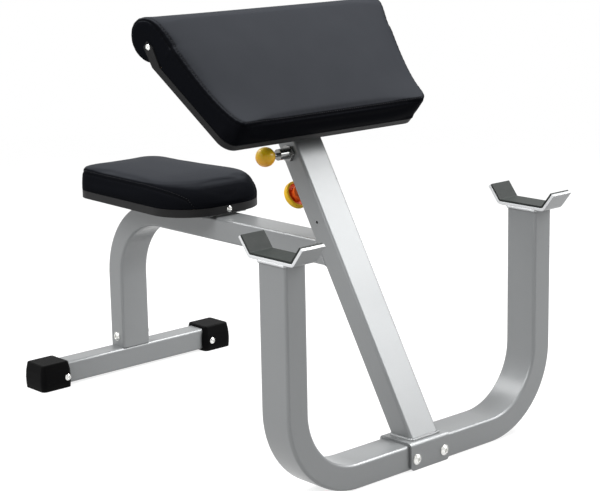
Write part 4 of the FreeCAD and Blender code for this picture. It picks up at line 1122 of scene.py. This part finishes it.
def makeFloor():
    size, height = stageSet["floorSize"], -stageSet["floorDrop"]
    mesh = bpy.data.meshes.new("studioFloor")
    mesh.from_pydata([(-size, -size, height), (size, -size, height), (size, size, height), (-size, size, height)],
                     [], [(0, 1, 2, 3)])
    floor = bpy.data.objects.new("studioFloor", mesh)
    scene.collection.objects.link(floor)
    material = bpy.data.materials.new("paleFloor")
    material.use_nodes = True
    tree = material.node_tree
    tree.nodes.clear()
    wire = Wire(tree)
    matte = wire.node("ShaderNodeBsdfDiffuse", None, {"Color": stageSet["floor"]})
    glow = wire.node("ShaderNodeEmission", None, {"Color": (1, 1, 1, 1), "Strength": stageSet["glow"]})
    both = wire.node("ShaderNodeAddShader", None, {0: matte, 1: glow})
    pick = wire.node("ShaderNodeMixShader", None, {0: plainWhite(wire), 1: matte, 2: both})
    clear = wire.node("ShaderNodeBsdfTransparent")
    reach = wire.node("ShaderNodeVectorMath", {"operation": "LENGTH"}, {0: restSpot(wire)}, "Value")
    fade = ramp(wire, reach, stageSet["fadeFrom"], stageSet["fadeTo"])
    faded = wire.node("ShaderNodeMixShader", None, {0: fade, 1: pick, 2: clear})
    end = tree.nodes.new("ShaderNodeOutputMaterial")
    wire.feed(end.inputs["Surface"], faded)
    mesh.materials.append(material)


def makeWorld():
    world = bpy.data.worlds.new("studioWorld")
    scene.world = world
    world.use_nodes = True
    tree = world.node_tree
    tree.nodes.clear()
    wire = Wire(tree)
    strength = mix(stageSet["ambient"], 1.0, plainWhite(wire))
    sky = wire.node("ShaderNodeBackground", None, {"Color": (1, 1, 1, 1), "Strength": strength})
    end = tree.nodes.new("ShaderNodeOutputWorld")
    wire.feed(end.inputs["Surface"], sky)


def makeLamps():
    for name, s in lampSet.items():
        light = bpy.data.lights.new(name, "AREA")
        light.shape = "DISK"
        light.size = s["size"]
        light.energy = s["power"]
        lamp = bpy.data.objects.new(name, light)
        scene.collection.objects.link(lamp)
        lamp.location = s["place"]
        lamp.rotation_mode = "QUATERNION"
        lamp.rotation_quaternion = (Vector(s["aim"]) - Vector(s["place"])).to_track_quat("-Z", "Y")


cameraSet = {"place": (2.6393, -2.2590, 1.1350), "turn": -42.18, "rise": 12.30, "roll": -1.03,
             "lens": 101.64, "sensor": 36.0, "shiftX": -0.01685, "shiftY": -0.01298}


def makeCamera():
    s = cameraSet
    data = bpy.data.cameras.new("photoCamera")
    data.lens = s["lens"]
    data.sensor_width = s["sensor"]
    data.shift_x = s["shiftX"]
    data.shift_y = s["shiftY"]
    camera = bpy.data.objects.new("photoCamera", data)
    scene.collection.objects.link(camera)
    turn, rise = math.radians(s["turn"]), math.radians(s["rise"])
    ahead = -Vector((math.cos(rise) * math.cos(turn), math.cos(rise) * math.sin(turn), math.sin(rise)))
    camera.location = s["place"]
    camera.rotation_mode = "QUATERNION"
    camera.rotation_quaternion = ahead.to_track_quat("-Z", "Y") @ Quaternion((0, 0, 1), math.radians(s["roll"]))
    scene.camera = camera


makeFloor()
makeWorld()
makeLamps()
makeCamera()
print("stage: studio lit")
